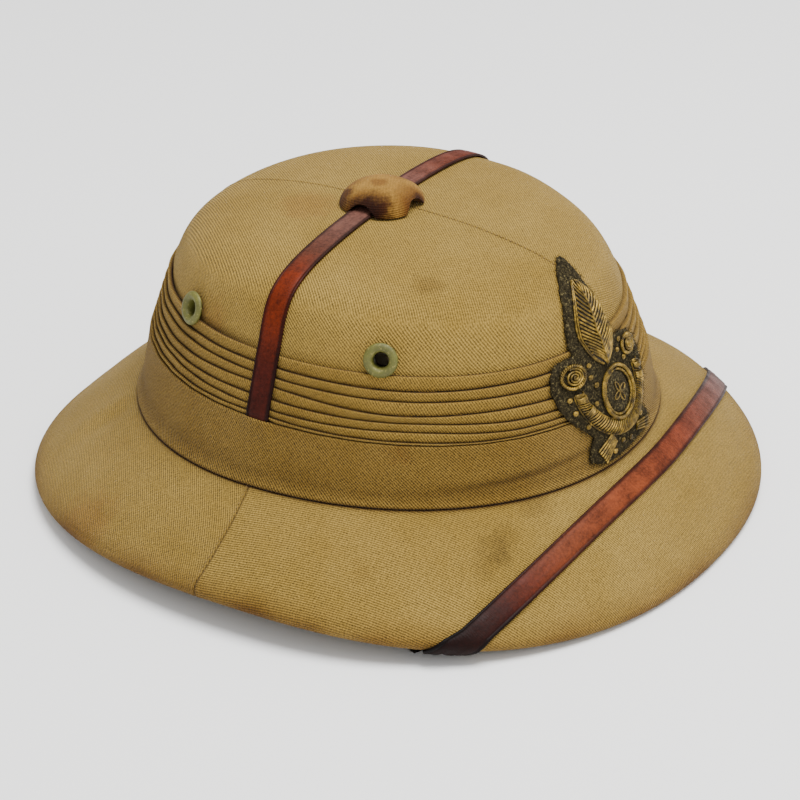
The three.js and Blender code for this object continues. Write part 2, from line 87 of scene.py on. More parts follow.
def surface(tree, shader, colour, height, strength, distance):
    """Gives a shader its colour, and bumps from a height between 0 and 1."""
    bump = add_node(tree, "ShaderNodeBump", {},
                    {"Height": height, "Strength": strength, "Distance": distance})
    tree.links.new(colour, shader.inputs["Base Color"])
    tree.links.new(bump.outputs["Normal"], shader.inputs["Normal"])


def plain_material(name, colour, roughness):
    """One even colour all over."""
    material, _, shader = new_material(name)
    shader.inputs["Base Color"].default_value = linear(colour)
    shader.inputs["Roughness"].default_value = roughness
    return material


floor_size = 12.0
floor_mesh = bpy.data.meshes.new("studio_floor")
half_floor = floor_size / 2
floor_mesh.from_pydata(
    [(x * half_floor, y * half_floor, 0) for x, y in ((-1, -1), (1, -1), (1, 1), (-1, 1))],
    [], [(0, 1, 2, 3)])
studio_floor = linked("studio_floor", floor_mesh)
floor_mesh.materials.append(plain_material("matt white studio paint", "#FCFCFB", 0.9))

world = bpy.data.worlds.new("studio_air")
world.use_nodes = True
world.node_tree.nodes["Background"].inputs["Color"].default_value = linear("#FFFFFF")
world.node_tree.nodes["Background"].inputs["Strength"].default_value = 0.8
scene.world = world


def softbox(name, place, aim, size, power):
    lamp = bpy.data.lights.new(name, "AREA")
    lamp.shape = "DISK"
    lamp.size = size
    lamp.energy = power
    holder = linked(name, lamp)
    holder.location = place
    holder.rotation_euler = (Vector(aim) - Vector(place)).to_track_quat("-Z", "Y").to_euler()


helmet_middle = (0, 0, 0.06)
softbox("overhead_softbox", (0.12, -0.4, 1.7), helmet_middle, 1.2, 54)
softbox("front_softbox", (0.3, -1.9, 0.9), helmet_middle, 0.9, 4)
softbox("camera_fill", (-1.5, -1.1, 1.0), helmet_middle, 1.0, 5)

camera_place = Vector((-1.04374, -0.63659, 0.69454))
camera_aim = Vector((0.0106, 0.0026, 0.0303))
camera_roll = math.radians(-0.67)
camera_data = bpy.data.cameras.new("camera")
camera_data.lens = 138
camera_data.clip_start = 0.05
camera = linked("camera", camera_data)
toward = (camera_aim - camera_place).to_track_quat("-Z", "Y").to_matrix()
camera.matrix_world = Matrix.Translation(camera_place) @ (
    toward @ Matrix.Rotation(camera_roll, 3, "Z")).to_4x4()
scene.camera = camera


# ---- Crown ---------------------------------------------------------------------------------
# A dome of moulded cork under two panels of khaki cotton drill. The panels meet in one seam from
# front to back over the top, and the cloth is stretched and glued down, so it shows no folds.

crown_front = (0.126, 0.23, 10.4)  # radius at the root, taper to the top, tightness of shoulder
crown_back = (0.108, 0.22, 13)
crown_side = (0.1105, 0.26, 18)
crown_squareness = 2.1
crown_root_z = 0.0453
crown_top_z = 0.1349
crown_centre_y = 0.0046
crown_lean = -0.0011
crown_tilt = 0.012
crown_wall = 0.005
band_seat = 0.0012
clearance = 0.0003  # what keeps one piece from touching the next
root_line = (0.0454, 0.003)  # height at the crown's centre, and rise towards the back
fold_line = (0.0735, 0.035)
pleat_top_line = (0.1007, 0.031)
proud_at_fold = 0.002
proud_at_pleat_top = 0.0009


def oval(angle, front, back, side, squareness):
    """Plan of a rounded oval. Angle 0 is the front, a quarter turn the wearer's left."""
    cos, sin = np.cos(angle), np.sin(angle)
    reach = (np.abs(cos) ** squareness + np.abs(sin) ** squareness) ** (-1 / squareness)
    return side * sin * reach, -np.where(cos > 0, front, back) * cos * reach


def crown_outline(angle, rise):
    """Points of the crown's outline, at rises from 0 at the root to 1 at the top."""
    spans = []
    for radius, taper, shoulder in (crown_front, crown_back, crown_side):
        turn_in = 1 - np.clip(rise, 0, 1) ** shoulder
        spans.append(radius * (1 - taper * rise) * np.sqrt(turn_in))
    x, y = oval(angle, *spans, crown_squareness)
    z = crown_root_z + rise * (crown_top_z - crown_root_z) + crown_tilt * y
    return np.stack(np.broadcast_arrays(x, y + crown_centre_y + crown_lean * rise, z), axis=-1)


def unit(vectors):
    return vectors / np.linalg.norm(vectors, axis=-1, keepdims=True)


def crown_normal(angle, rise):
    turn = 0.01
    low = np.clip(rise - 0.004, -0.02, 0.99)
    high = np.clip(rise + 0.004, 0, 0.9999)
    across = crown_outline(angle + turn, rise) - crown_outline(angle - turn, rise)
    return unit(np.cross(across, crown_outline(angle, high) - crown_outline(angle, low)))


def crown_point(angle, rise, proud):
    """The crown's outline moved out by proud, an amount or an array of them."""
    lift = np.asarray(proud)[..., None]
    return crown_outline(angle, rise) + crown_normal(angle, rise) * lift


def rise_of(angle, line):
    """Where a level line runs round the crown."""
    height, slope = line
    rise = np.full(np.shape(angle), 0.3)
    for _ in range(6):
        point = crown_outline(angle, rise)
        target = height + slope * (point[..., 1] - crown_centre_y)
        rise = rise + (target - point[..., 2]) / (crown_top_z - crown_root_z)
    return np.maximum(rise, 0)


def skin_proud(angle, rise):
    """How far the outermost cloth stands proud of the crown's outline."""
    root, fold, top = (rise_of(angle, line) for line in (root_line, fold_line, pleat_top_line))
    above = proud_at_pleat_top * np.clip(1 - (rise - top) / 0.03, 0, 1)
    part = (rise - fold) / (top - fold)
    pleats = proud_at_fold + (proud_at_pleat_top - proud_at_fold) * part
    band = proud_at_fold * np.clip((rise - root) / (fold - root), 0, 1)
    return np.where(rise > top, above, np.where(rise > fold, pleats, band))


def angles_round(count, seams, spacing):
    """Even angles round the helmet, with a few more close beside each seam."""
    even = np.linspace(-math.pi, math.pi, count, endpoint=False)
    steps = np.array([-6, -3.5, -2, -1.2, -0.6, -0.25, 0, 0.25, 0.6, 1.2, 2, 3.5, 6]) * spacing
    beside = np.concatenate([seam + steps for seam in seams])
    beside = (beside + math.pi) % (2 * math.pi) - math.pi
    apart = np.abs(even[:, None] - np.array(seams)[None, :])
    apart = np.minimum(apart, 2 * math.pi - apart).min(axis=1)
    return np.sort(np.concatenate([even[apart > 8 * spacing], beside]))


def lumps(points, size, depth, seed):
    """Slow unevenness of a hand-made surface, from a few crossing waves."""
    random = np.random.default_rng(seed)
    total = np.zeros(points.shape[:-1])
    for _ in range(7):
        way = random.normal(size=3)
        way *= 2 * math.pi / (size * random.uniform(0.7, 1.6)) / np.linalg.norm(way)
        total += np.sin(points @ way + random.uniform(0, 2 * math.pi))
    return total * depth / 3


def smooth_piece(name, mesh):
    """A smooth closed piece: its faces look outwards, and no point is left without a face."""
    mesh.shade_smooth()
    work = bmesh.new()
    work.from_mesh(mesh)
    loose = [vertex for vertex in work.verts if not vertex.link_faces]
    bmesh.ops.delete(work, geom=loose, context="VERTS")
    bmesh.ops.recalc_face_normals(work, faces=work.faces)
    work.to_mesh(mesh)
    work.free()
    return linked(name, mesh)


def ring_mesh(name, rings, uvs=None, joined=False, painted_shade=None, grime=None):
    """A closed mesh through rings of points. Its ends are capped, or its last ring is joined to its
    first. uvs has one more column than the rings have, and one more row where joined. The two marks
    say, point by point, how much painted shade falls in creases and hollows, and how dirty the
    cloth is, a mark that also carries painted shade on the brim's rolled edge and underside."""
    rows, cols = rings.shape[:2]
    r, c = np.meshgrid(np.arange(rows if joined else rows - 1), np.arange(cols), indexing="ij")
    r2, c2 = (r + 1) % rows, (c + 1) % cols
    quads = np.stack([r * cols + c, r * cols + c2, r2 * cols + c2, r2 * cols + c], axis=-1)
    faces = quads.reshape(-1, 4).tolist()
    points = rings.reshape(-1, 3)
    if not joined:
        hubs = [rings[0].mean(axis=0), rings[-1].mean(axis=0)]
        points = np.concatenate([points, hubs])
        around = [(i, (i + 1) % cols) for i in range(cols)]
        faces += [(b, a, rows * cols) for a, b in around]
        last = (rows - 1) * cols
        faces += [(last + a, last + b, rows * cols + 1) for a, b in around]
    mesh = bpy.data.meshes.new(name)
    mesh.from_pydata(points.tolist(), [], faces)
    layer = mesh.uv_layers.new(name="weave")
    if uvs is not None:
        corners = np.stack([uvs[r, c], uvs[r, c + 1], uvs[r + 1, c + 1], uvs[r + 1, c]], axis=-2)
        flat = np.zeros((len(mesh.loops), 2))
        flat[:corners.size // 2] = corners.reshape(-1, 2)
        if not joined:
            first, last = uvs[0, :-1], uvs[-1, :-1]
            ends = [np.stack([np.roll(end, -1, 0), end, end], axis=1) for end in (first, last)]
            flat[corners.size // 2:] = np.concatenate(ends).reshape(-1, 2)
        layer.data.foreach_set("uv", flat.ravel())
    for label, amounts in (("painted_shade", painted_shade), ("grime", grime)):
        if amounts is not None:
            mark = mesh.attributes.new(label, "FLOAT", "POINT")
            marks = np.zeros(len(points))
            marks[:rows * cols] = np.broadcast_to(amounts, (rows, cols)).ravel()
            mark.data.foreach_set("value", marks)
    return smooth_piece(name, mesh)


def arc_uvs(rings, turn=0.0):
    """Lengths round and across a set of rings, as cloth coordinates turned by an angle."""
    closed = np.concatenate([rings, rings[:, :1]], axis=1)
    around = np.linalg.norm(np.diff(closed, axis=1), axis=-1).mean(axis=0)
    across = np.linalg.norm(np.diff(rings, axis=0), axis=-1).mean(axis=1)
    u = np.concatenate([[0], np.cumsum(around)])
    v = np.concatenate([[0], np.cumsum(across)])
    v = np.append(v, v[-1] + across[-1])
    u, v = np.meshgrid(u, v)
    cos, sin = math.cos(turn), math.sin(turn)
    return np.stack([u * cos + v * sin, v * cos - u * sin], axis=-1)


def finish(piece, slot, material, *nodes):
    """Gives a piece its material, parents it to the root body and hides the parts that it stands
    for. Its slot is not used.
    """
    piece.data.materials.clear()
    piece.data.materials.append(material)
    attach(piece, "root")
    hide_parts(*nodes)
    return piece


rib_pitch = 0.00105  # real drill is about half as coarse, too fine to show at this distance


def noise(tree, place, scale, detail, roughness=0.5):
    """Cloudy variation; scale is how many clouds there are to a metre."""
    return add_node(tree, "ShaderNodeTexNoise", {},
                    {"Vector": place, "Scale": scale, "Detail": detail,
                     "Roughness": roughness}).outputs["Fac"]


def spread(tree, value, low, high, start=0.0, end=1.0, curve="LINEAR"):
    """A value moved from the range low to high onto the range start to end, and kept in it."""
    return add_node(tree, "ShaderNodeMapRange", {"interpolation_type": curve},
                    {"Value": value, "From Min": low, "From Max": high, "To Min": start,
                     "To Max": end}).outputs["Result"]


def maths(tree, operation, *values):
    return add_node(tree, "ShaderNodeMath", {"operation": operation},
                    dict(enumerate(values))).outputs[0]


def blend(tree, factor, colour, other, way="MIX"):
    """One colour laid over another."""
    return add_node(tree, "ShaderNodeMix", {"data_type": "RGBA", "blend_type": way},
                    {"Factor": factor, 6: colour, 7: other}).outputs[2]


def twill(tree, coordinates, lean):
    """Height of a twill: slanting ribs, each broken into short floats of yarn."""
    ribs = (math.cos(lean) / rib_pitch, math.sin(lean) / rib_pitch, 0)
    floats = (-math.sin(lean) / rib_pitch * 0.8, math.cos(lean) / rib_pitch * 0.8, 0)
    wander = noise(tree, coordinates, 420.0, 3.0)
    waves = []
    for way, drift in ((ribs, 0.5), (floats, 2.2)):
        along = add_node(tree, "ShaderNodeVectorMath", {"operation": "DOT_PRODUCT"},
                         {0: coordinates, 1: way})
        strayed = maths(tree, "MULTIPLY_ADD", wander, drift, along.outputs["Value"])
        turns = maths(tree, "MULTIPLY", strayed, 2 * math.pi)
        waves.append(maths(tree, "SINE", turns))
    fine = maths(tree, "MULTIPLY_ADD", waves[1], 0.38, waves[0])
    return spread(tree, fine, -1.38, 1.38)


def blotch(tree, colour, coordinates, place, reach, stain, strength):
    """Lays a soft-edged, uneven stain over a colour, centred on a place of the object."""
    ragged = noise(tree, coordinates, 130.0, 6.0, 0.7)
    away = add_node(tree, "ShaderNodeVectorMath", {"operation": "DISTANCE"},
                    {0: coordinates, 1: place})
    pushed = maths(tree, "MULTIPLY_ADD", ragged, reach * 1.6, away.outputs["Value"])
    mask = spread(tree, pushed, reach * 1.9, reach * 1.2, 0.0, strength, curve="SMOOTHSTEP")
    return blend(tree, mask, colour, linear(stain), "MULTIPLY")


def drill_material(name, light, shade, stains, lean, depth=0.75, top_coordinates=False):
    """Cotton drill: dyed khaki, woven in a fine twill and faded. It is matt, with a faint sheen
    from its nap. Its ribs are coloured lighter on their crests and darker between them, partly the
    yarn's own tone and partly painted light and shade. Creases get painted shade, and dirt darkens
    the cloth, with painted shade mixed into the dirt on the brim's edge and underside."""
    material, tree, shader = new_material(name)
    place = add_node(tree, "ShaderNodeTexCoord").outputs["Object"]
    cloth = add_node(tree, "ShaderNodeUVMap", {"uv_map": "weave"}).outputs["UV"]
    weave = twill(tree, cloth, lean)
    if top_coordinates:
        normal = add_node(tree, "ShaderNodeNewGeometry").outputs["Normal"]
        facing = add_node(tree, "ShaderNodeSeparateXYZ", {}, {"Vector": normal})
        on_top = spread(tree, facing.outputs["Z"], 0.55, 0.8, curve="SMOOTHSTEP")
        flat = twill(tree, place, lean + math.pi / 2)
        weave = add_node(tree, "ShaderNodeMix", {"data_type": "FLOAT"},
                         {"Factor": on_top, "A": weave, "B": flat}).outputs[0]
    faded = spread(tree, noise(tree, place, 16.0, 9.0, 0.68), 0.35, 0.7)
    colour = blend(tree, faded, linear(light), linear(shade))
    for centre, reach, stain, strength in stains:
        colour = blotch(tree, colour, place, centre, reach, stain, strength)
    specks = noise(tree, place, 420.0, 3.0, 0.7)
    speck_mask = spread(tree, specks, 0.69, 0.76, 0.0, 0.35)
    colour = blend(tree, speck_mask, colour, linear("#5A3F14"))
    # The dirt mark, with painted shade mixed in on the brim's edge and underside, then the painted
    # shade of creases and hollows.
    for label, tint in (("grime", "#9A7444"), ("painted_shade", "#5C3E18")):
        amount = add_node(tree, "ShaderNodeAttribute", {"attribute_name": label})
        colour = blend(tree, amount.outputs["Fac"], colour, linear(tint), "MULTIPLY")
    # Colour follows the weave's height: lighter on the ribs' crests and darker between them, partly
    # the yarn's own tone and partly painted light and shade.
    slubs = noise(tree, place, 1100.0, 2.0)
    slubby = maths(tree, "MULTIPLY_ADD", slubs, 1.0, weave)
    weave_tone_and_shade = spread(tree, slubby, 0.3, 1.7, 1 - depth, 1 + 0.6 * depth)
    colour = add_node(tree, "ShaderNodeVectorMath", {"operation": "SCALE"},
                      {0: colour, "Scale": weave_tone_and_shade})
    surface(tree, shader, colour.outputs[0], slubby, depth, 0.00055)
    shader.inputs["Roughness"].default_value = 0.88
    shader.inputs["Specular IOR Level"].default_value = 0.12
    shader.inputs["Sheen Weight"].default_value = 0.04
    shader.inputs["Sheen Roughness"].default_value = 0.5
    return material


khaki_light = "#957A3C"
khaki_shade = "#84692B"
crown_stains = [
    ((-0.052, -0.050, 0.133), 0.009, "#9A8C78", 0.5),
    ((-0.095, 0.045, 0.105), 0.020, "#D9A878", 0.35),
    ((-0.020, 0.030, 0.134), 0.016, "#D8AC80", 0.3),
]
crown_drill = drill_material("khaki cotton drill, crown panels", khaki_light, khaki_shade,
                             crown_stains, lean=math.radians(46), top_coordinates=True)

crown_seams = (0.0, -math.pi)
crown_angles = angles_round(440, crown_seams, 0.0045)
wall_rises = np.linspace(0, 0.56, 26)[:-1]
shoulder_turns = np.linspace(math.asin(0.56 ** 6.5), 1.562, 58)
crown_rises = np.concatenate([wall_rises, np.sin(shoulder_turns) ** (2 / 13)])


def seam_relief(distance):
    """Two turned-in cloth edges beside a fine groove."""
    return 0.00022 * np.exp(-(distance / 0.0017) ** 2) - 0.0004 * np.exp(-(distance / 0.0004) ** 2)


def crown_rings():
    foot = rise_of(crown_angles, root_line)
    top = rise_of(crown_angles, pleat_top_line)
    outer, painted_shade = [], []
    for rise in crown_rises:
        level = np.maximum(np.full_like(crown_angles, rise), foot)
        under_bands = np.clip((top + 0.012 - level) / 0.008, 0, 1)
        bare = crown_point(crown_angles, level, np.zeros_like(level))
        relief = lumps(bare, 0.055, 0.00022, 3) + seam_relief(np.abs(bare[:, 0]))
        proud = relief * (1 - under_bands) - band_seat * under_bands
        outer.append(crown_point(crown_angles, level, proud))
        # Painted shade just above the puggaree's top edge and in the groove of the seam.
        beside_band = 0.5 * np.exp(-((level - top - 0.004) / 0.012) ** 2)
        painted_shade.append(beside_band + 0.35 * np.exp(-(bare[:, 0] / 0.0006) ** 2))
    inner = [crown_point(crown_angles, np.maximum(np.full_like(crown_angles, rise), foot),
                         np.where(rise < top, -crown_wall - band_seat, -crown_wall))
             for rise in crown_rises[::3][::-1]]
    outer, inner = np.array(outer), np.array(inner)
    outer[0, :, 2] = inner[-1, :, 2] = crown_outline(crown_angles, foot)[:, 2]
    painted_shade = np.concatenate([np.zeros(inner.shape[:2]), painted_shade])
    return np.concatenate([inner, outer]), painted_shade


def half_panel_uvs(rings):
    """Cloth coordinates of the two halves: out from the middle of each side, and up the crown."""
    closed = np.concatenate([rings, rings[:, :1]], axis=1)
    steps = np.linalg.norm(np.diff(closed, axis=1), axis=-1)
    u = np.concatenate([0 * steps[:, :1], np.cumsum(steps, axis=1)], axis=1)
    for side in (-1, 1):
        middle = np.argmin(np.abs(np.sin(crown_angles) - side))
        half = np.append(np.sin(crown_angles) * side > 0, np.sin(crown_angles[0]) * side > 0)
        u[:, half] -= u[:, [middle]].copy()
    climbs = np.linalg.norm(np.diff(rings, axis=0), axis=-1)[:, middle]
    v = np.concatenate([[0], np.cumsum(climbs), [climbs.sum() + climbs[-1]]])
    u = np.concatenate([u, u[-1:]])
    return np.stack([u, np.broadcast_to(v[:, None], u.shape)], axis=-1)


rings, crown_painted_shade = crown_rings()
crown = ring_mesh("helmet_crown", rings, half_panel_uvs(rings), painted_shade=crown_painted_shade)

eyelet_places = [(side * math.radians(turn), rise)
                 for side in (-1, 1) for turn, rise in ((63, 0.675), (119, 0.665))]


def eyelet_frame(angle, rise):
    """The place and turn of one eyelet: its axis along the crown's normal."""
    point = crown_point(angle, rise, skin_proud(angle, rise - 0.05) + clearance)
    normal = Vector(crown_normal(angle, rise))
    turned = normal.to_track_quat("Z", "Y").to_matrix().to_4x4()
    return Matrix.Translation(Vector(point)) @ turned


def cut_eyelet_holes(piece):
    cutter_mesh = bpy.data.meshes.new("eyelet_cutter")
    work = bmesh.new()
    for angle, rise in eyelet_places:
        bmesh.ops.create_cone(work, cap_ends=True, segments=32, radius1=0.0043, radius2=0.0043,
                              depth=0.02, matrix=eyelet_frame(angle, rise))
    work.to_mesh(cutter_mesh)
    work.free()
    cutter = linked("eyelet_cutter", cutter_mesh)
    cut = piece.modifiers.new("eyelet_holes", "BOOLEAN")
    cut.operation = "DIFFERENCE"
    cut.solver = "EXACT"
    cut.object = cutter
    evaluated = piece.evaluated_get(bpy.context.evaluated_depsgraph_get())
    mesh = bpy.data.meshes.new_from_object(evaluated)
    piece.modifiers.clear()
    piece.data = mesh
    bpy.data.objects.remove(cutter)


cut_eyelet_holes(crown)
finish(crown, "khaki_drill", crown_drill, "crown")


def open_group(name, **inputs):
    """A new Geometry Nodes tree, its input node, and the identifiers of its named inputs."""
    tree = bpy.data.node_groups.new(name, "GeometryNodeTree")
    names = {}
    for label, kind in {"Geometry": "Geometry", **inputs}.items():
        label = label.replace("_", " ")
        socket = tree.interface.new_socket(label, in_out="INPUT", socket_type="NodeSocket" + kind)
        names[label] = socket.identifier
    tree.interface.new_socket("Geometry", in_out="OUTPUT", socket_type="NodeSocketGeometry")
    return tree, add_node(tree, "NodeGroupInput"), names


def close_group(tree, geometry, material):
    """Gives what a tree has made its material, and sends it out."""
    dyed = add_node(tree, "GeometryNodeSetMaterial", {},
                    {"Geometry": geometry, "Material": material})
    add_node(tree, "NodeGroupOutput", {}, {"Geometry": dyed.outputs[0]})


def stitch_tree():
    """Small threads laid end to end along a curve."""
    tree, given, names = open_group("running_stitch", Spacing="Float", Stitch_Size="Vector",
                                    Thread="Material")
    points = add_node(tree, "GeometryNodeResampleCurve", {"mode": "LENGTH"},
                      {"Curve": given.outputs["Geometry"], "Length": given.outputs["Spacing"]})
    along = add_node(tree, "GeometryNodeInputTangent")
    turn = add_node(tree, "FunctionNodeAlignRotationToVector", {"axis": "Z"},
                    {"Vector": along.outputs[0]})
    bead = add_node(tree, "GeometryNodeMeshUVSphere", {},
                    {"Segments": 6, "Rings": 4, "Radius": 1.0})
    laid = add_node(tree, "GeometryNodeInstanceOnPoints", {},
                    {"Points": points.outputs[0], "Instance": bead.outputs[0],
                     "Rotation": turn.outputs[0], "Scale": given.outputs["Stitch Size"]})
    whole = add_node(tree, "GeometryNodeRealizeInstances", {}, {"Geometry": laid.outputs[0]})
    close_group(tree, whole.outputs[0], given.outputs["Thread"])
    return tree, names


def curve_piece(name, paths):
    """Paths of points as one curve object, each an open line of short straight steps."""
    curve = bpy.data.curves.new(name, "CURVE")
    curve.dimensions = "3D"
    for path in paths:
        line = curve.splines.new("POLY")
        line.points.add(len(path) - 1)
        line.points.foreach_set("co", np.c_[path, np.ones(len(path))].ravel())
    return linked(name, curve)


def grown(name, source, group, values):
    """Runs a node tree on a source piece and keeps the result as a plain mesh."""
    tree, names = group
    growth = source.modifiers.new("growth", "NODES")
    growth.node_group = tree
    for label, value in values.items():
        growth[names[label]] = value
    evaluated = source.evaluated_get(bpy.context.evaluated_depsgraph_get())
    mesh = bpy.data.meshes.new_from_object(evaluated)
    source.modifiers.clear()
    bpy.data.objects.remove(source)
    mesh.name = name
    mesh.shade_smooth()
    return linked(name, mesh)


running_stitch = stitch_tree()
thread = plain_material("waxed linen thread, browned", "#6E5730", 0.8)

seam_rises = np.linspace(0.66, 0.99, 60) ** 0.35
seam_rises = seam_rises[seam_rises > 0.64]
front_run = crown_point(np.zeros_like(seam_rises), seam_rises, np.full_like(seam_rises, 0.00005))
back_run = crown_point(np.full_like(seam_rises, math.pi), seam_rises,
                       np.full_like(seam_rises, 0.00005))
seam_path = np.concatenate([front_run, back_run[::-1]])
crown_stitches = grown("crown_seam_stitches", curve_piece("crown_seam_path", [seam_path]),
                       running_stitch, {"Spacing": 0.0024, "Thread": thread,
                                        "Stitch Size": (0.00022, 0.00022, 0.0006)})
finish(crown_stitches, "khaki_drill", thread)


# ---- Brim ----------------------------------------------------------------------------------
# Moulded in one with the crown and covered by a front and a back panel of drill, which meet in a
# stitched seam at each side. The cloth is drawn round the cork's thick rounded edge.

edge_front = 0.1446
edge_back = 0.177
edge_side = 0.1505
edge_squareness = 2.21
edge_centre_y = -0.01625
roll_radius = 0.0035
brim_foot_sink = 0.00045  # how far the upper face starts below the crown's root
edge_rise = 0.0114
edge_flattening = 0.0022
brim_crowning = 0.0025
brim_inner_drop = 0.0085
side_reaches = (0.115, 0.155)  # from the helmet's middle to the brim's foot and edge at a seam
rest_flat = 0.00035
seam_skew = math.radians(7.3)  # the side seams run straight out, across the slant of the sections


def brim_section(angle):
    """Cross-sections of the brim: the crown's root, the middle of the rolled edge, the way out
    along the slope, the level way out, and the slope's normal."""
    root = crown_outline(angle, rise_of(angle, root_line))
    x, y = oval(angle, edge_front, edge_back, edge_side, edge_squareness)
    wave = edge_rise * np.sin(angle) ** 2 - edge_flattening * np.sin(2 * angle) ** 2
    roll = np.stack([x, y + edge_centre_y, roll_radius + wave], axis=-1)
    out = unit(roll - root)
    level = unit(out * (1, 1, 0))
    normal = np.cross(out, np.cross((0, 0, 1.0), out))
    return root, roll, out, level, unit(normal)


def brim_top(section, part):
    """Points of the upper face, from 0 at the crown's root to 1 at the rolled edge."""
    root, roll, _, _, normal = section
    part = np.asarray(part)[..., None]
    climb = (roll_radius + brim_foot_sink) * part - brim_foot_sink
    lift = climb + brim_crowning * 4 * part * (1 - part)
    return root + (roll - root) * part + normal * lift


def brim_normal(section, part):
    root, roll, out, _, normal = section
    steepness = roll_radius + brim_foot_sink + brim_crowning * 4 * (1 - 2 * np.asarray(part))
    slope = steepness / np.linalg.norm(roll - root, axis=-1)
    return unit(normal - out * slope[..., None])


def brim_roll(section, turn, proud=0.0):
    _, roll, out, _, normal = section
    return roll + (roll_radius + proud) * (normal * math.cos(turn) + out * math.sin(turn))


brim_angles = angles_round(560, (-math.pi / 2, math.pi / 2), 0.003)


def soft_crease(points, start, end, width, depth):
    """A shallow groove along a line, fading at both ends."""
    start, end = np.array(start), np.array(end)
    along = (points - start) @ (end - start) / ((end - start) @ (end - start))
    nearest = start + np.clip(along, 0, 1)[..., None] * (end - start)
    away = np.linalg.norm(points - nearest, axis=-1)
    return -depth * np.exp(-(away / width) ** 2)


def brim_relief(points, seam_gap, part):
    """Unevenness of the cloth, the side seams, a dent at the back and a bead round the edge."""
    relief = lumps(points, 0.07, 0.00035, 11) + seam_relief(seam_gap)
    overlap = 0.00018 * np.tanh(-seam_gap / 0.0003) * np.exp(-(seam_gap / 0.004) ** 2)
    bead = 0.0004 * np.exp(-((part - 0.93) / 0.05) ** 2)
    bead -= 0.00025 * np.exp(-((part - 0.8) / 0.06) ** 2)
    dent = soft_crease(points, (-0.078, 0.096, 0.04), (-0.105, 0.137, 0.02), 0.006, 0.0012)
    ridge = -soft_crease(points, (-0.070, 0.104, 0.04), (-0.093, 0.146, 0.02), 0.006, 0.0008)
    return relief + overlap + bead + dent + ridge


def brim_rings():
    def skewed(part):
        return brim_angles + np.sign(brim_angles) * seam_skew * part * np.sin(brim_angles) ** 2

    painted_shade, grime = [1.0, 1.0], [0.0, 0.0]
    root_section = brim_section(brim_angles)
    root, _, _, level, _ = root_section
    foot = root - level * (crown_wall + band_seat)
    inner_top = foot * (1, 1, 0) + (root[:, 2:] - 0.0004) * (0, 0, 1)
    seat = (root + level * 0.0004) * (1, 1, 0) + (root[:, 2:] - 0.0004) * (0, 0, 1)
    inner_bottom = inner_top - np.array((0, 0, brim_inner_drop))
    rings = [inner_top, seat]
    for part in np.linspace(0.03, 0.99, 34):
        section = brim_section(skewed(part))
        points = brim_top(section, np.full_like(brim_angles, part))
        gap = (np.abs(brim_angles) - math.pi / 2) * np.interp(part, (0, 1), side_reaches)
        fade = min(1.0, part / 0.1)
        relief = brim_relief(points, gap, part) * fade
        outward = brim_normal(section, np.full_like(brim_angles, part))
        rings.append(points + outward * relief[:, None])
        # Painted shade close to the crown's root and in the grooves of the side seams.
        painted_shade.append(max(0.0, 1 - part / 0.05) * 0.5 + 0.6 * np.exp(-(gap / 0.0005) ** 2))
        # Dirt browns the upper face towards the edge.
        grime.append(max(0.0, (part - 0.8) / 0.2) ** 1.5 * 0.3)
    edge_section = brim_section(skewed(1))
    gap = (np.abs(brim_angles) - math.pi / 2) * side_reaches[1]
    for turn in np.linspace(0, math.pi, 15):
        relief = seam_relief(gap) * (1 if turn < 2 else 0)
        rings.append(brim_roll(edge_section, turn, relief[:, None]))
        painted_shade.append(0.5 * np.exp(-(gap / 0.0005) ** 2))
        # Round the rolled edge: dirt, and painted shade that is deepest on the outer face, where
        # the edge turns down.
        grime.append(0.3 + 0.3 * math.sin(turn))
    for part in np.linspace(0.9, 0.08, 12):
        section = brim_section(skewed(part))
        lift = brim_crowning * 2.4 * part * (1 - part)
        under = brim_roll(section, math.pi)
        low = section[0] - section[3] * (crown_wall + band_seat)
        low = low - np.array((0, 0, brim_inner_drop + 0.0004))
        rings.append(low + (under - low) * part + section[4] * lift)
        painted_shade.append(0.0)
        # Under the brim: a little dirt and painted shade.
        grime.append(0.2)
    rings.append(inner_bottom)
    rings = np.array(rings)
    rings[..., 2] = np.where(rings[..., 2] < rest_flat, 0, rings[..., 2])
    ragged = 1 + 0.3 * lumps(rings, 0.03, 1.0, 17)
    grime = np.array([*grime, 0.2])[:, None] * ragged
    painted_shade = np.array([np.broadcast_to(row, brim_angles.shape) for row in (*painted_shade, 0.3)])
    return rings, painted_shade, np.clip(grime, 0, 1)


def panel_uvs(rings):
    """Cloth coordinates of the two panels, laid out flat along the way over the edge and under it,
    each with its own grain."""
    closed = np.concatenate([rings, rings[:1]])
    closed = np.concatenate([closed, closed[:, :1]], axis=1)
    steps = np.linalg.norm(np.diff(closed, axis=0), axis=-1)
    reach = np.concatenate([0 * steps[:1], np.cumsum(steps, axis=0)])[..., None]
    outward = unit(closed[20, :, :2] - closed[2, :, :2])
    x, y = np.moveaxis(closed[2, :, :2] + outward * reach, -1, 0)
    front = np.abs(np.append(brim_angles, brim_angles[0])) < math.pi / 2
    grain = np.where(front, math.radians(9), math.radians(-60))
    return np.stack([x * np.cos(grain) + y * np.sin(grain),
                     y * np.cos(grain) - x * np.sin(grain)], axis=-1)


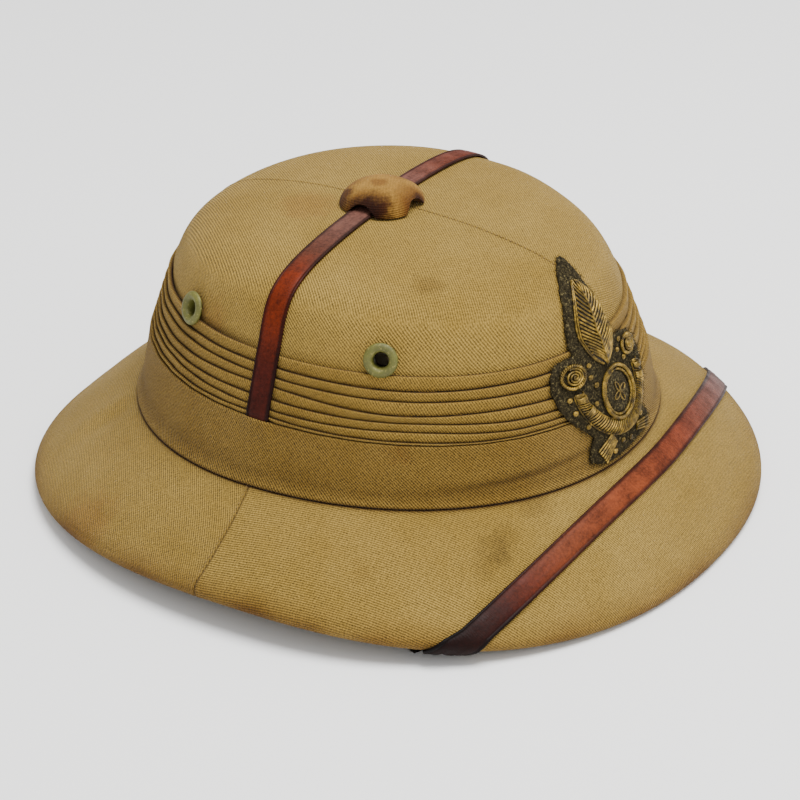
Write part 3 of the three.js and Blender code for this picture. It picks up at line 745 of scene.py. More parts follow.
brim_stains = [
    ((-0.089, -0.102, 0.034), 0.009, "#BFBCBE", 0.42),
    ((-0.081, -0.103, 0.037), 0.008, "#C2BEBE", 0.4),
    ((-0.097, -0.103, 0.030), 0.007, "#C6C2C0", 0.4),
    ((-0.090, -0.107, 0.032), 0.006, "#BFBCBE", 0.4),
    ((-0.060, -0.106, 0.044), 0.010, "#CBC7C4", 0.5),
    ((-0.121, -0.060, 0.024), 0.010, "#D0C6B4", 0.5),
    ((-0.128, 0.075, 0.012), 0.020, "#D8B078", 0.4),
]
brim_drill = drill_material("khaki cotton drill, brim panels", khaki_light, khaki_shade,
                            brim_stains, lean=0.0, depth=0.78)
rings, brim_painted_shade, brim_grime_and_shade = brim_rings()
brim = ring_mesh("helmet_brim", rings, panel_uvs(rings), True, brim_painted_shade, brim_grime_and_shade)
finish(brim, "khaki_drill", brim_drill, "brim")

side_runs = []
for side in (-1, 1):
    parts = np.linspace(0.02, 0.97, 40)
    beside = side * (math.pi / 2 + 0.009)
    angles = beside + side * seam_skew * parts
    section = brim_section(angles)
    side_runs.append(brim_top(section, parts) + brim_normal(section, parts) * 0.0002)
brim_stitches = grown("brim_seam_stitches", curve_piece("brim_seam_paths", side_runs),
                      running_stitch, {"Spacing": 0.0022, "Thread": thread,
                                       "Stitch Size": (0.00018, 0.00018, 0.0006)})
finish(brim_stitches, "khaki_drill", thread)


# ---- Pleated puggaree ----------------------------------------------------------------------
# A long bias strip of the same drill, wound round the crown in seven flat folds. Each fold's free
# edge looks up and stands over the fold above it, and the spacing wanders, as it is laid by hand.

# Places of the folds' free edges, from 0 at the band's top to 1 at the plain band below it.
fold_chart = [
    # turn from the front towards the wearer's right, and the six edges below the top one
    (-30, (0.19, 0.35, 0.53, 0.70, 0.82, 0.91)),
    (-58, (0.21, 0.35, 0.55, 0.65, 0.77, 0.91)),
    (-90, (0.19, 0.33, 0.46, 0.64, 0.785, 0.88)),
    (-125, (0.17, 0.31, 0.49, 0.63, 0.73, 0.87)),
    (-165, (0.20, 0.36, 0.50, 0.62, 0.76, 0.88)),
    (150, (0.18, 0.33, 0.50, 0.66, 0.77, 0.90)),
    (95, (0.20, 0.34, 0.52, 0.63, 0.78, 0.89)),
    (40, (0.21, 0.36, 0.51, 0.67, 0.79, 0.90)),
]


def fold_edges(angles):
    """The free edges' places at each angle, eased between the charted ones."""
    turns = np.radians([turn for turn, _ in fold_chart])
    order = np.argsort(turns)
    turns = turns[order]
    edges = np.array([row for _, row in fold_chart])[order]
    turns = np.concatenate([[turns[-1] - 2 * math.pi], turns, [turns[0] + 2 * math.pi]])
    edges = np.concatenate([edges[-1:], edges, edges[:1]])
    spot = np.clip(np.searchsorted(turns, angles, side="right") - 1, 0, len(turns) - 2)
    part = (angles - turns[spot]) / (turns[spot + 1] - turns[spot])
    ease = (part * part * (3 - 2 * part))[:, None]
    eased = edges[spot] * (1 - ease) + edges[spot + 1] * ease
    wobble = 0.006 * np.sin(angles[:, None] * np.arange(5, 11) + np.arange(6) * 1.7)
    return np.concatenate([np.zeros((len(angles), 1)), eased + wobble, np.ones((len(angles), 1))],
                          axis=1)


# Cross-section of a fold: how far down it lies, and how far out of the band's own surface.
fold_section = [
    # part of the way down the fold, its height in metres, and how much painted shade it gets for
    # lying deep in the crease
    (-0.035, -0.0013, 1.0),
    (-0.022, -0.0006, 0.7),
    (-0.008, 0.0002, 0.1),
    (0.0, 0.00042, 0.0),
    (0.07, 0.0005, 0.0),
    (0.16, 0.0004, 0.0),
    (0.4, 0.0, 0.0),
    (0.7, -0.00055, 0.1),
    (0.86, -0.0009, 0.45),
    (0.96, -0.0012, 1.0),
]


def strap_shelter(angles):
    """1 under the crown strap, where the folds are pressed flat, and 0 away from it."""
    away = np.minimum(np.abs(angles - math.pi / 2), np.abs(angles + math.pi / 2)) * 0.104
    return np.exp(-(away / 0.0065) ** 6)


pleat_angles = angles_round(900, (-math.pi / 2, math.pi / 2), 0.006)


def pleat_rings():
    top = rise_of(pleat_angles, pleat_top_line)
    fold = rise_of(pleat_angles, fold_line) - 0.02
    edges = fold_edges(pleat_angles)
    pressed = strap_shelter(pleat_angles) * 0.0007
    rings, painted_shade = [], []
    for k in range(7):
        here, there = edges[:, k], edges[:, k + 1] * (0.94 if k == 6 else 1)
        for down, height, depth in fold_section:
            step = down * (0.055 if down < 0 else (there - here)) / (1 if down >= 0 else 0.2)
            place = here + step
            rise = top + (fold - top) * place
            slack = 0.00012 * np.sin(pleat_angles * (23 + 3 * k) + k)
            out = skin_proud(pleat_angles, rise) + height + slack - pressed
            rings.append(crown_point(pleat_angles, rise, np.maximum(out, 0.0007 - band_seat)))
            # Painted shade deep in each fold's crease, with less of it near the front.
            painted_shade.append(depth * (1 - 0.6 * np.exp(-((pleat_angles - 0.3) / 0.4) ** 2)))
    inside = -band_seat + clearance
    for place in (0.97, 0.5, 0.0):
        rise = top + (fold - top) * place
        rings.append(crown_point(pleat_angles, rise, np.full_like(rise, inside)))
        painted_shade.append(np.ones_like(rise))
    return np.array(rings), np.array(painted_shade)


puggaree_stains = [
    ((-0.096, 0.062, 0.083), 0.008, "#8C9A64", 0.6),
    ((-0.101, 0.045, 0.080), 0.007, "#8C9A64", 0.5),
    ((-0.100, -0.045, 0.094), 0.009, "#D8A070", 0.6),
]
puggaree_drill = drill_material("khaki cotton drill, puggaree", "#917434", "#7D6126",
                                puggaree_stains, lean=math.radians(-35), depth=0.8)
rings, fold_painted_shade = pleat_rings()
pleats = ring_mesh("puggaree_folds", rings, arc_uvs(rings), joined=True, painted_shade=fold_painted_shade)
finish(pleats, "khaki_drill", puggaree_drill, "puggaree_pleats")


# ---- Plain hatband -------------------------------------------------------------------------
# The lower end of the same cloth, left smooth. It is turned in at its top edge, over the ends of
# the crown strap, and flares at its foot, where it is drawn onto the brim and tucked under.

# How far the band stands out of the crown's outline, from its foot up to its top edge.
band_section = [
    # part of the way up, distance in metres, and how much painted shade it gets in a crease
    (0.0, 0.0005, 0.9),
    (0.02, 0.0008, 0.2),
    (0.05, 0.0008, 0.0),
    (0.1, 0.0003, 0.1),
    (0.2, -0.0001, 0.25),
    (0.33, 0.0001, 0.1),
    (0.55, 0.0009, 0.0),
    (0.8, 0.0018, 0.0),
    (0.95, 0.0024, 0.0),
    (0.985, 0.0025, 0.0),
    (1.0, 0.0020, 0.1),
]


def hatband_rings():
    angles = pleat_angles
    root = rise_of(angles, root_line)
    fold = rise_of(angles, fold_line)
    parts, heights, depths = np.array(band_section).T
    rings, painted_shade = [], []
    for part in np.unique(np.concatenate([np.linspace(0, 1, 30), parts])):
        rise = root + (fold - root) * part
        out = np.full_like(angles, np.interp(part, parts, heights))
        bare = crown_point(angles, rise, out)
        over_strap = strap_shelter(angles) * 0.0012 * np.clip((part - 0.6) / 0.35, 0, 1)
        slack = lumps(bare, 0.03, 0.00018, 21) * math.sin(math.pi * min(part * 1.2, 1))
        crease_place = 0.30 + 0.25 * (angles + 0.75)
        crease = np.exp(-((part - crease_place) / 0.06) ** 2)
        crease *= np.exp(-((angles + 0.55) / 0.3) ** 2)
        second = np.exp(-((part - 0.26) / 0.07) ** 2) * np.exp(-((angles + 2.35) / 0.5) ** 2)
        out = out + over_strap + slack - 0.0009 * crease - 0.0005 * second
        out = np.maximum(out, -band_seat + 0.0007)
        rings.append(crown_point(angles, rise, out))
        # Painted shade in the band's hollows and creases.
        painted_shade.append(np.interp(part, parts, depths) + 0.5 * crease)
    for part in (1.0, 0.5, 0.0):
        rise = root + (fold - root) * part
        rings.append(crown_point(angles, rise, np.full_like(angles, -band_seat + clearance)))
        painted_shade.append(np.ones_like(angles))
    rings = np.array(rings)
    foot = crown_outline(angles, root)[:, 2]
    rings[0, :, 2] = foot
    rings[-1, :, 2] = foot
    return rings, np.clip(painted_shade, 0, 1)


band_stains = [
    ((-0.100, -0.062, 0.072), 0.012, "#C88850", 0.5),
]
# The band is the same cloth as the crown, but its tones are darker: painted shade below the folds.
band_drill = drill_material("khaki cotton drill, plain band", "#846930", "#745820", band_stains,
                            lean=math.radians(42), depth=0.9)
rings, band_painted_shade = hatband_rings()
hatband = ring_mesh("plain_hatband", rings, arc_uvs(rings), joined=True, painted_shade=band_painted_shade)
finish(hatband, "khaki_drill", band_drill, "hatband")


# ---- Crown strap ---------------------------------------------------------------------------
# A flat strap of vegetable-tanned leather, dyed red-brown and polished, with a creased line
# beside each edge. It runs over the crown under the button, and its ends pass under the band.

strap_width = 0.011


def strap_outline(thickness):
    """Cross-section of a creased strap: across it, and out of its middle."""
    half, deep, round_off = strap_width / 2, thickness / 2, 0.0004
    top = [(half - 0.0002, deep - 0.00012), (half - 0.0008, deep), (half - 0.0011, deep - 0.0001),
           (half - 0.00135, deep - 0.00024), (half - 0.0016, deep - 0.0001),
           (half - 0.002, deep + 0.00003), (half * 0.3, deep + 0.0001)]
    right = [(half - round_off, -deep), (half, -deep + round_off), (half, deep - round_off)] + top
    left = [(-u, v) for u, v in reversed(right)]
    return np.array(right + left)


def strap_rings(points, normals, section):
    """Cross-sections of a strap along a path, with its outer face along the normals."""
    along = unit(np.gradient(points, axis=0))
    side = unit(np.cross(along, normals))
    face = np.cross(side, along)
    return (points[:, None] + side[:, None] * section[None, :, :1]
            + face[:, None] * section[None, :, 1:])


def strap_mesh(name, rings, section):
    """A strap through its cross-sections, and how far along it each of them is."""
    middles = rings.mean(axis=1)
    lengths = np.concatenate([[0], np.cumsum(np.linalg.norm(np.diff(middles, axis=0), axis=1))])
    across = np.append(section[:, 0], section[0, 0])
    uvs = np.stack(np.meshgrid(across, lengths), axis=-1)
    return ring_mesh(name, rings, uvs), lengths


def tone_ramp(tree, factor, tones):
    """Colour by a factor, from pairs of a place on the ramp and a tone."""
    ramp = add_node(tree, "ShaderNodeValToRGB", {}, {"Fac": factor})
    stops = ramp.color_ramp.elements
    for stop, (place, tone) in zip(stops, (tones[0], tones[-1])):
        stop.position, stop.color = place, linear(tone)
    for place, tone in tones[1:-1]:
        stops.new(place).color = linear(tone)
    return ramp.outputs["Color"]


def strap_leather(name, length, tones):
    """Leather: smooth grain side with fine cross wrinkles, burnished darker along both edges. Its
    tones along its length are given, and some of them are painted sheen and shade; the dye is worn
    lighter in spots, and the wax gives a soft broken gloss."""
    material, tree, shader = new_material(name)
    place = add_node(tree, "ShaderNodeTexCoord").outputs["Object"]
    strip = add_node(tree, "ShaderNodeUVMap", {"uv_map": "weave"}).outputs["UV"]
    apart = add_node(tree, "ShaderNodeSeparateXYZ", {}, {"Vector": strip})
    run = maths(tree, "DIVIDE", apart.outputs["Y"], length)
    mottle = noise(tree, place, 90.0, 6.0, 0.65)
    drift = spread(tree, mottle, 0.3, 0.7, -0.015, 0.015)
    shifted = maths(tree, "ADD", drift, run)
    dyed = tone_ramp(tree, shifted, tones)
    edge = maths(tree, "ABSOLUTE", apart.outputs["X"])
    burnish = spread(tree, edge, 0.0033, 0.0049, 0.0, 0.8, curve="SMOOTHSTEP")
    dark = blend(tree, burnish, dyed, linear("#3E140A"), "MULTIPLY")
    pores = noise(tree, place, 750.0, 3.0, 0.7)
    spotty = maths(tree, "MULTIPLY_ADD", pores, 0.8, mottle)
    spots = spread(tree, spotty, 0.6, 1.15, 1.5, 0.4)
    toned = add_node(tree, "ShaderNodeVectorMath", {"operation": "SCALE"},
                     {0: dark, "Scale": spots})
    stretched = add_node(tree, "ShaderNodeMapping", {}, {"Vector": strip, "Scale": (350, 1500, 1)})
    wrinkles = noise(tree, stretched.outputs[0], 1.0, 4.0, 0.6)
    grain = maths(tree, "ADD", pores, wrinkles)
    surface(tree, shader, toned.outputs[0], grain, 0.6, 0.0003)
    gloss = spread(tree, mottle, 0.3, 0.7, 0.4, 0.62)
    tree.links.new(gloss, shader.inputs["Roughness"])
    shader.inputs["Specular IOR Level"].default_value = 0.09
    shader.inputs["Coat Weight"].default_value = 0.015
    shader.inputs["Coat Roughness"].default_value = 0.3
    return material


crown_strap_thickness = 0.0013
crown_strap_lift = clearance + crown_strap_thickness / 2


def crown_strap_path():
    climb = np.concatenate([np.linspace(0.27, 0.6, 40)[:-1],
                            np.sin(np.linspace(math.asin(0.6 ** 6.5), 1.5, 60)) ** (2 / 13)])
    points, normals = [], []
    for side in (-1, 1):
        angle = np.full_like(climb, side * math.pi / 2)
        fold = rise_of(angle, fold_line)
        tucked = np.clip((fold + 0.03 - climb) / 0.05, 0, 1)
        cushion = skin_proud(angle, climb) - 0.0006 * (climb < 0.62) - 0.0007 * tucked
        run = crown_point(angle, climb, cushion + crown_strap_lift)
        way = crown_normal(angle, climb)
        order = slice(None) if side < 0 else slice(None, None, -1)
        points.append(run[order])
        normals.append(way[order])
    return np.concatenate(points), np.concatenate(normals)


strap_points, strap_normals = crown_strap_path()
section = strap_outline(crown_strap_thickness)
rings = strap_rings(strap_points, strap_normals, section)
crown_strap, lengths = strap_mesh("crown_strap_leather", rings, section)
# Tones along the strap, from its low end at the wearer's right over the top to its low end at the
# wearer's left: red-brown on the sides, darker towards both low ends, and a lighter purplish brown
# over the top that is painted sheen.
crown_strap_tones = [(0.0, "#340F07"), (0.09, "#40130A"), (0.16, "#5C1E08"), (0.24, "#5E1F08"),
                     (0.3, "#502A1C"), (0.38, "#5A3A30"), (0.52, "#62423A"), (0.64, "#5A2E20"),
                     (0.76, "#5A200A"), (0.86, "#40130A"), (1.0, "#340F07")]
finish(crown_strap, "strap_leather",
       strap_leather("red-brown polished leather, crown strap", lengths[-1], crown_strap_tones),
       "crown_strap")


# ---- Chin strap ----------------------------------------------------------------------------
# The same leather in one length, worn up across the front of the brim. It turns under the edge
# at both sides and runs to the wearer's ears, where its ends are sewn inside the crown.

chin_nearest = 0.205  # part of the way out over the brim, where it passes closest to the crown
chin_bow = 2.4
chin_half_angle = 54  # degrees to each side, from its middle to where it turns under the edge
chin_skew = 2.5  # degrees that its middle lies towards the wearer's left
chin_thickness = 0.0013
chin_lift = clearance + chin_thickness / 2
chin_wrap_turn = 2.7  # radians round the rolled edge
chin_wrap_advance = math.radians(2.4)  # along the edge for each radian round it


def brim_cover(angle, reach, lift):
    """Points over the brim, at a reach measured out from the crown and on round the rolled edge."""
    section = brim_section(angle)
    root, roll, out, _, normal = section
    length = np.linalg.norm(roll - root, axis=-1)
    part = np.clip(reach / length, 0, 1)
    flat = brim_top(section, part) + brim_normal(section, part) * lift[..., None]
    turn = np.maximum(reach - length, 0)[..., None] / roll_radius
    around = normal * np.cos(turn) + out * np.sin(turn)
    rolled = roll + around * (roll_radius + lift[..., None])
    return np.where(turn > 0, rolled, flat)


def chin_route():
    """Angles and reaches of the strap's middle, over the brim and round its edge at both sides."""
    turned = np.linspace(-1, 1, 140)
    angle = np.radians(chin_skew + chin_half_angle * turned)
    part = chin_nearest + (1 - chin_nearest) * np.abs(turned) ** chin_bow
    root, roll, *_ = brim_section(angle)
    reach = part * np.linalg.norm(roll - root, axis=-1)
    turn = np.linspace(0, chin_wrap_turn, 24)[1:]
    right = angle[0] - chin_wrap_advance * turn[::-1]
    left = angle[-1] + chin_wrap_advance * turn
    return (np.concatenate([right, angle, left]),
            np.concatenate([reach[0] + roll_radius * turn[::-1], reach,
                            reach[-1] + roll_radius * turn]))


def chin_cover_rings(section):
    """The strap bent to the brim: each point of its cross-section lies over its own spot."""
    angle, reach = chin_route()
    middle = brim_cover(angle, reach, np.full_like(angle, chin_lift))
    radius = np.linalg.norm(middle[:, :2] - (0, edge_centre_y), axis=1)
    along = unit(np.stack([np.gradient(angle) * radius, np.gradient(reach)], axis=-1))
    across, up = section.T
    angles = angle[:, None] - along[:, 1:] * across / radius[:, None]
    reaches = reach[:, None] + along[:, :1] * across
    return brim_cover(angles, reaches, chin_lift + up + 0 * angles)


def chin_hidden_rings(start, heading, start_normal, side, section):
    """Under the brim from the wrapped edge to the wearer's ear, inside the crown."""
    ear = np.array([side * math.radians(86)])
    inside = np.array([-(band_seat + crown_wall + chin_lift)])
    ear_low = crown_point(ear, np.array([0.03]), inside)[0]
    ear_high = crown_point(ear, np.array([0.2]), inside)[0]
    inward = -crown_normal(ear, np.array([0.1]))[0]
    handles = [start, start + heading * 0.012,
               ear_low + np.array((-side * 0.009, -0.020, -0.030)), ear_low]
    points, normals = [], []
    for t in np.linspace(0, 1, 41)[2:]:
        weights = ((1 - t) ** 3, 3 * t * (1 - t) ** 2, 3 * t * t * (1 - t), t ** 3)
        points.append(sum(w * h for w, h in zip(weights, handles)))
        normals.append(unit(start_normal * (1 - t) + inward * t))
    points, normals = np.array([*points, ear_high]), np.array([*normals, inward])
    if side < 0:
        points, normals = points[::-1], normals[::-1]
    return strap_rings(points, normals, section)


section = strap_outline(chin_thickness)
cover = chin_cover_rings(section)
middles = cover.mean(axis=1)
faces = unit(np.cross(cover[:, 0] - middles, np.gradient(middles, axis=0)))
right = chin_hidden_rings(middles[0], unit(middles[0] - middles[2]), -faces[0], -1, section)
left = chin_hidden_rings(middles[-1], unit(middles[-1] - middles[-3]), -faces[-1], 1, section)
rings = np.concatenate([right, cover, left])
chin_strap, lengths = strap_mesh("chin_strap_leather", rings, section)
near, far = lengths[len(right) + 23] / lengths[-1], lengths[len(right) + 162] / lengths[-1]

# Tones of the leather along the stretch that shows: dark where it bends down over the near edge, as
# painted shade.
chin_shown_tones = [
    (0.0, "#1A0704"), (0.06, "#2A0D07"), (0.12, "#4A1C0E"), (0.22, "#663018"), (0.42, "#6C3218"),
    (0.6, "#642C18"), (0.78, "#5C3022"), (1.0, "#502E28"),
]
# Near-black round the near edge's bend and on the stretches under the brim and inside the crown,
# and dark at the far end's bend: painted shade.
chin_strap_tones = [(0.02, "#200A06"), (near - 0.03, "#120403")]
chin_strap_tones += [(near + (far - near) * part, tone) for part, tone in chin_shown_tones]
chin_strap_tones += [(far + 0.03, "#4A2418"), (1.0, "#200A06")]
finish(chin_strap, "strap_leather",
       strap_leather("red-brown polished leather, chin strap", lengths[-1], chin_strap_tones),
       "chin_strap")


# ---- Vent button ---------------------------------------------------------------------------
# A turned cork cap on four feet, covered in ribbed drill. Air passes under its arches. The cloth
# is drawn tight over the feet and is brown with handling.

button_radius = 0.0188
button_height = 0.0096
arch_half_width = 0.00725
arch_height = 0.0046
rib_way = (0.515, 0.857)  # which way the ribs of its cloth run
button_base = np.array((-0.0028, crown_centre_y + crown_lean - 0.001, crown_top_z + clearance))


def arch_ceiling(x, y):
    """Height of the two crossing vents above the button's foot."""
    def arch(distance):
        inside = np.clip(1 - (np.abs(distance) / arch_half_width) ** 2.6, 0, 1)
        return arch_height * inside
    return np.maximum(arch(x), arch(y))


def button_rings():
    around = np.linspace(0, 2 * math.pi, 144, endpoint=False)
    pinch = 1 - 0.045 * np.cos(2 * around) ** 2
    rim_x, rim_y = button_radius * np.cos(around), button_radius * np.sin(around)
    rim = arch_ceiling(rim_x, rim_y)
    lowest_turn = np.arcsin(np.clip(rim / button_height, 0, 1) ** (1 / 1.05))
    rings = []
    for part in np.linspace(0.985, 0.0, 40):
        turn = lowest_turn + (math.pi / 2 - lowest_turn) * part
        reach = button_radius * np.cos(turn) ** 0.8 * pinch
        z = button_height * np.sin(turn) ** 1.05
        rings.append(np.stack([reach * np.cos(around), reach * np.sin(around), z], axis=-1))
    rim_reach = np.linalg.norm(rings[-1][:, :2], axis=1)
    for part in np.linspace(0.97, 0.03, 26):
        x, y = rim_reach * part * np.cos(around), rim_reach * part * np.sin(around)
        rings.append(np.stack([x, y, arch_ceiling(x, y)], axis=-1))
    rings = np.array(rings)
    rings[..., 2] += lumps(rings, 0.012, 0.00012, 5) * (rings[..., 2] > 0.001)
    span = np.linalg.norm(rings[..., :2], axis=-1)
    off_leg = np.abs(np.abs(rings[..., 0]) - np.abs(rings[..., 1])) / np.maximum(span, 0.001)
    # The cloth is made darker round the arch mouths and on the outer part of the vents' ceilings,
    # away from the feet.
    near_arches = np.clip((off_leg - 0.15) / 0.45, 0, 1)
    near_arches *= np.clip(span / button_radius * 1.5 - 0.5, 0, 1)
    closed = np.concatenate([rings, rings[:, :1]], axis=1)
    closed = np.concatenate([closed, closed[-1:]])
    across = closed[..., 0] * rib_way[0] - closed[..., 1] * rib_way[1]
    ahead = closed[..., 0] * rib_way[1] + closed[..., 1] * rib_way[0] + closed[..., 2]
    return rings + button_base, np.stack([across, ahead], axis=-1), near_arches


button_stains = [
    ((-0.004, 0.004, 0.1455), 0.005, "#A0784C", 0.6),
    ((-0.020, -0.002, 0.1375), 0.012, "#6A4A30", 1.0),
    ((-0.001, -0.018, 0.138), 0.0085, "#74503A", 1.0),
    ((-0.0145, 0.014, 0.138), 0.007, "#74503A", 0.9),
]
button_drill = drill_material("ribbed cotton drill, browned by handling", "#9C7834", "#7C5620",
                              button_stains, lean=math.radians(86), depth=0.55)
rings, button_cloth, button_arch_darkening = button_rings()
button = ring_mesh("vent_button", rings, button_cloth, grime=button_arch_darkening)
finish(button, "stained_drill", button_drill, "top_button")


# ---- Vent eyelets --------------------------------------------------------------------------
# Four turned brass eyelets, let through the crown and rolled over outside. Their olive paint is
# rubbed and crazed, and brass shows at the crests.

eyelet_section = [
    # distance from the axis and height above the cloth, in metres
    (0.0033, -0.007), (0.0037, -0.007), (0.0039, -0.003), (0.0039, -0.0002), (0.0052, -0.0001),
    (0.0066, 0.0), (0.0072, 0.0003), (0.0074, 0.0008), (0.0072, 0.0013), (0.0067, 0.0018),
    (0.0060, 0.0021), (0.0053, 0.0022), (0.0046, 0.0020), (0.0040, 0.0016), (0.0036, 0.0010),
    (0.0034, 0.0002), (0.0033, -0.002),
]


def olive_brass():
    """Brass under old paint: matt olive with a crazed surface, and dull metal where it is worn."""
    material, tree, shader = new_material("olive paint worn through to brass")
    place = add_node(tree, "ShaderNodeTexCoord").outputs["Object"]
    wear = noise(tree, place, 800.0, 6.0, 0.75)
    bare = spread(tree, wear, 0.55, 0.7)
    grime = noise(tree, place, 150.0, 4.0)
    paint = blend(tree, grime, linear("#6B6A1E"), linear("#30300C"))
    colour = blend(tree, bare, paint, linear("#A89A58"))
    metal = maths(tree, "MULTIPLY", bare, 0.6)
    surface(tree, shader, colour, wear, 0.5, 0.0003)
    tree.links.new(metal, shader.inputs["Metallic"])
    shader.inputs["Roughness"].default_value = 0.6
    return material


worn_brass = olive_brass()
eyelet_names = ("eyelet_right_front", "eyelet_right_back", "eyelet_left_front", "eyelet_left_back")
for name, (angle, rise) in zip(eyelet_names, eyelet_places):
    around = np.linspace(0, 2 * math.pi, 56, endpoint=False)[:, None]
    radius, height = np.array(eyelet_section).T
    rings = np.stack([radius * np.cos(around), radius * np.sin(around),
                      height + 0 * around], axis=-1)
    turned = np.array(eyelet_frame(angle, rise))
    rings = rings @ turned[:3, :3].T + turned[:3, 3]
    finish(ring_mesh(name + "_ring", rings, joined=True), "aged_brass", worn_brass, name)


# ---- Badge backing -------------------------------------------------------------------------
# Wool felt cut to the badge's outline and sewn through the cloth. It is grey-black, faded brown,
# and its cut edge has gone shaggy.

def front_place(x, z):
    """The angle and rise of a point of the helmet's front, as seen from straight ahead."""
    angle = np.zeros_like(x)
    rise = (z - crown_root_z) / (crown_top_z - crown_root_z)
    for _ in range(12):
        point = crown_outline(angle, rise)
        angle = angle + (x - point[..., 0]) / 0.1
        rise = rise + (z - point[..., 2]) / (crown_top_z - crown_root_z)
    return angle, rise


def on_front(x, z, proud):
    """Points that stand proud of the cloth at the helmet's front."""
    angle, rise = front_place(np.asarray(x, float), np.asarray(z, float))
    return crown_point(angle, rise, skin_proud(angle, rise) + badge_seat + proud)


badge_seat = 0.0006
felt_thickness = 0.0014
mm = 0.001

# The felt's outline as seen from the front: x to the wearer's left and z up, in millimetres.
felt_outline = [
    (6, 123.5), (3.5, 117), (3, 109), (4.4, 98), (5, 93.5), (14, 92), (20.5, 87.5), (22.7, 80),
    (20.5, 70), (16, 62.5), (13.5, 58.5), (17.8, 53), (15.5, 49.5), (6, 48.3), (-10, 47.2),
    (-22, 47.2), (-29, 50.3), (-28.6, 54.5), (-25.4, 60), (-31.5, 66.5), (-36.5, 73), (-39, 82),
    (-37.8, 90), (-33, 94.8), (-24.5, 95.3), (-24, 98.5), (-21.5, 107), (-14.5, 116.5), (-7, 121),
    (0, 123.2),
]


def smooth_loop(corners, steps):
    """A closed curve through the corners."""
    corners = np.array(corners, float)
    before, after = np.roll(corners, 1, 0), np.roll(corners, -1, 0)
    slopes = (after - before) * 0.4
    points = []
    for i in range(len(corners)):
        j = (i + 1) % len(corners)
        for t in np.linspace(0, 1, steps, endpoint=False):
            a, b = 2 * t ** 3 - 3 * t * t + 1, t ** 3 - 2 * t * t + t
            c, d = -2 * t ** 3 + 3 * t * t, t ** 3 - t * t
            points.append(a * corners[i] + b * slopes[i] + c * corners[j] + d * slopes[j])
    return np.array(points)


def felt_mesh(name, loop, low, high):
    """A flat-cut piece of felt laid on the helmet's front."""
    count = len(loop)
    ragged = np.random.default_rng(4).normal(0, 0.12, (count, 2))
    loop = loop + ragged
    spacing = 1.4
    xs = np.arange(loop[:, 0].min(), loop[:, 0].max(), spacing)
    zs = np.arange(loop[:, 1].min(), loop[:, 1].max(), spacing)
    inner = [(x, z) for x in xs for z in zs
             if np.min(np.hypot(loop[:, 0] - x, loop[:, 1] - z)) > spacing * 0.7]
    edges = [(i, (i + 1) % count) for i in range(count)]
    flat = [Vector(p) for p in [*loop.tolist(), *inner]]
    points, edges, faces, *_ = delaunay_2d_cdt(flat, edges, [], 1, 1e-5)
    chart = np.array([tuple(p) for p in points])
    away = np.min(np.hypot(chart[:, None, 0] - loop[None, :, 0],
                           chart[:, None, 1] - loop[None, :, 1]), axis=1)
    rounded = high - 0.0006 * np.exp(-away / 0.8)
    top = on_front(chart[:, 0] * mm, chart[:, 1] * mm, rounded)
    bottom = on_front(chart[:, 0] * mm, chart[:, 1] * mm, np.full(len(chart), low))
    total = len(chart)
    sides = {(a, b): True for face in faces for a, b in zip(face, [*face[1:], face[0]])}
    walls = [(b, a, a + total, b + total) for a, b in sides if (b, a) not in sides]
    under = [tuple(v + total for v in reversed(face)) for face in faces]
    whole = [*map(tuple, faces), *under, *walls]
    mesh = bpy.data.meshes.new(name)
    mesh.from_pydata(np.concatenate([top, bottom]).tolist(), [], whole)
    return smooth_piece(name, mesh)


def felt_material():
    """Felted wool: no weave, a cloudy grey-black with brown and grey hairs, and no gloss."""
    material, tree, shader = new_material("grey-black wool felt")
    place = add_node(tree, "ShaderNodeTexCoord").outputs["Object"]
    hairs = noise(tree, place, 900.0, 5.0, 0.75)
    tone = tone_ramp(tree, hairs, [(0.35, "#15120A"), (0.55, "#342D1C"), (0.72, "#8A7C50")])
    surface(tree, shader, tone, hairs, 0.8, 0.0005)
    shader.inputs["Roughness"].default_value = 1.0
    shader.inputs["Specular IOR Level"].default_value = 0.15
    return material


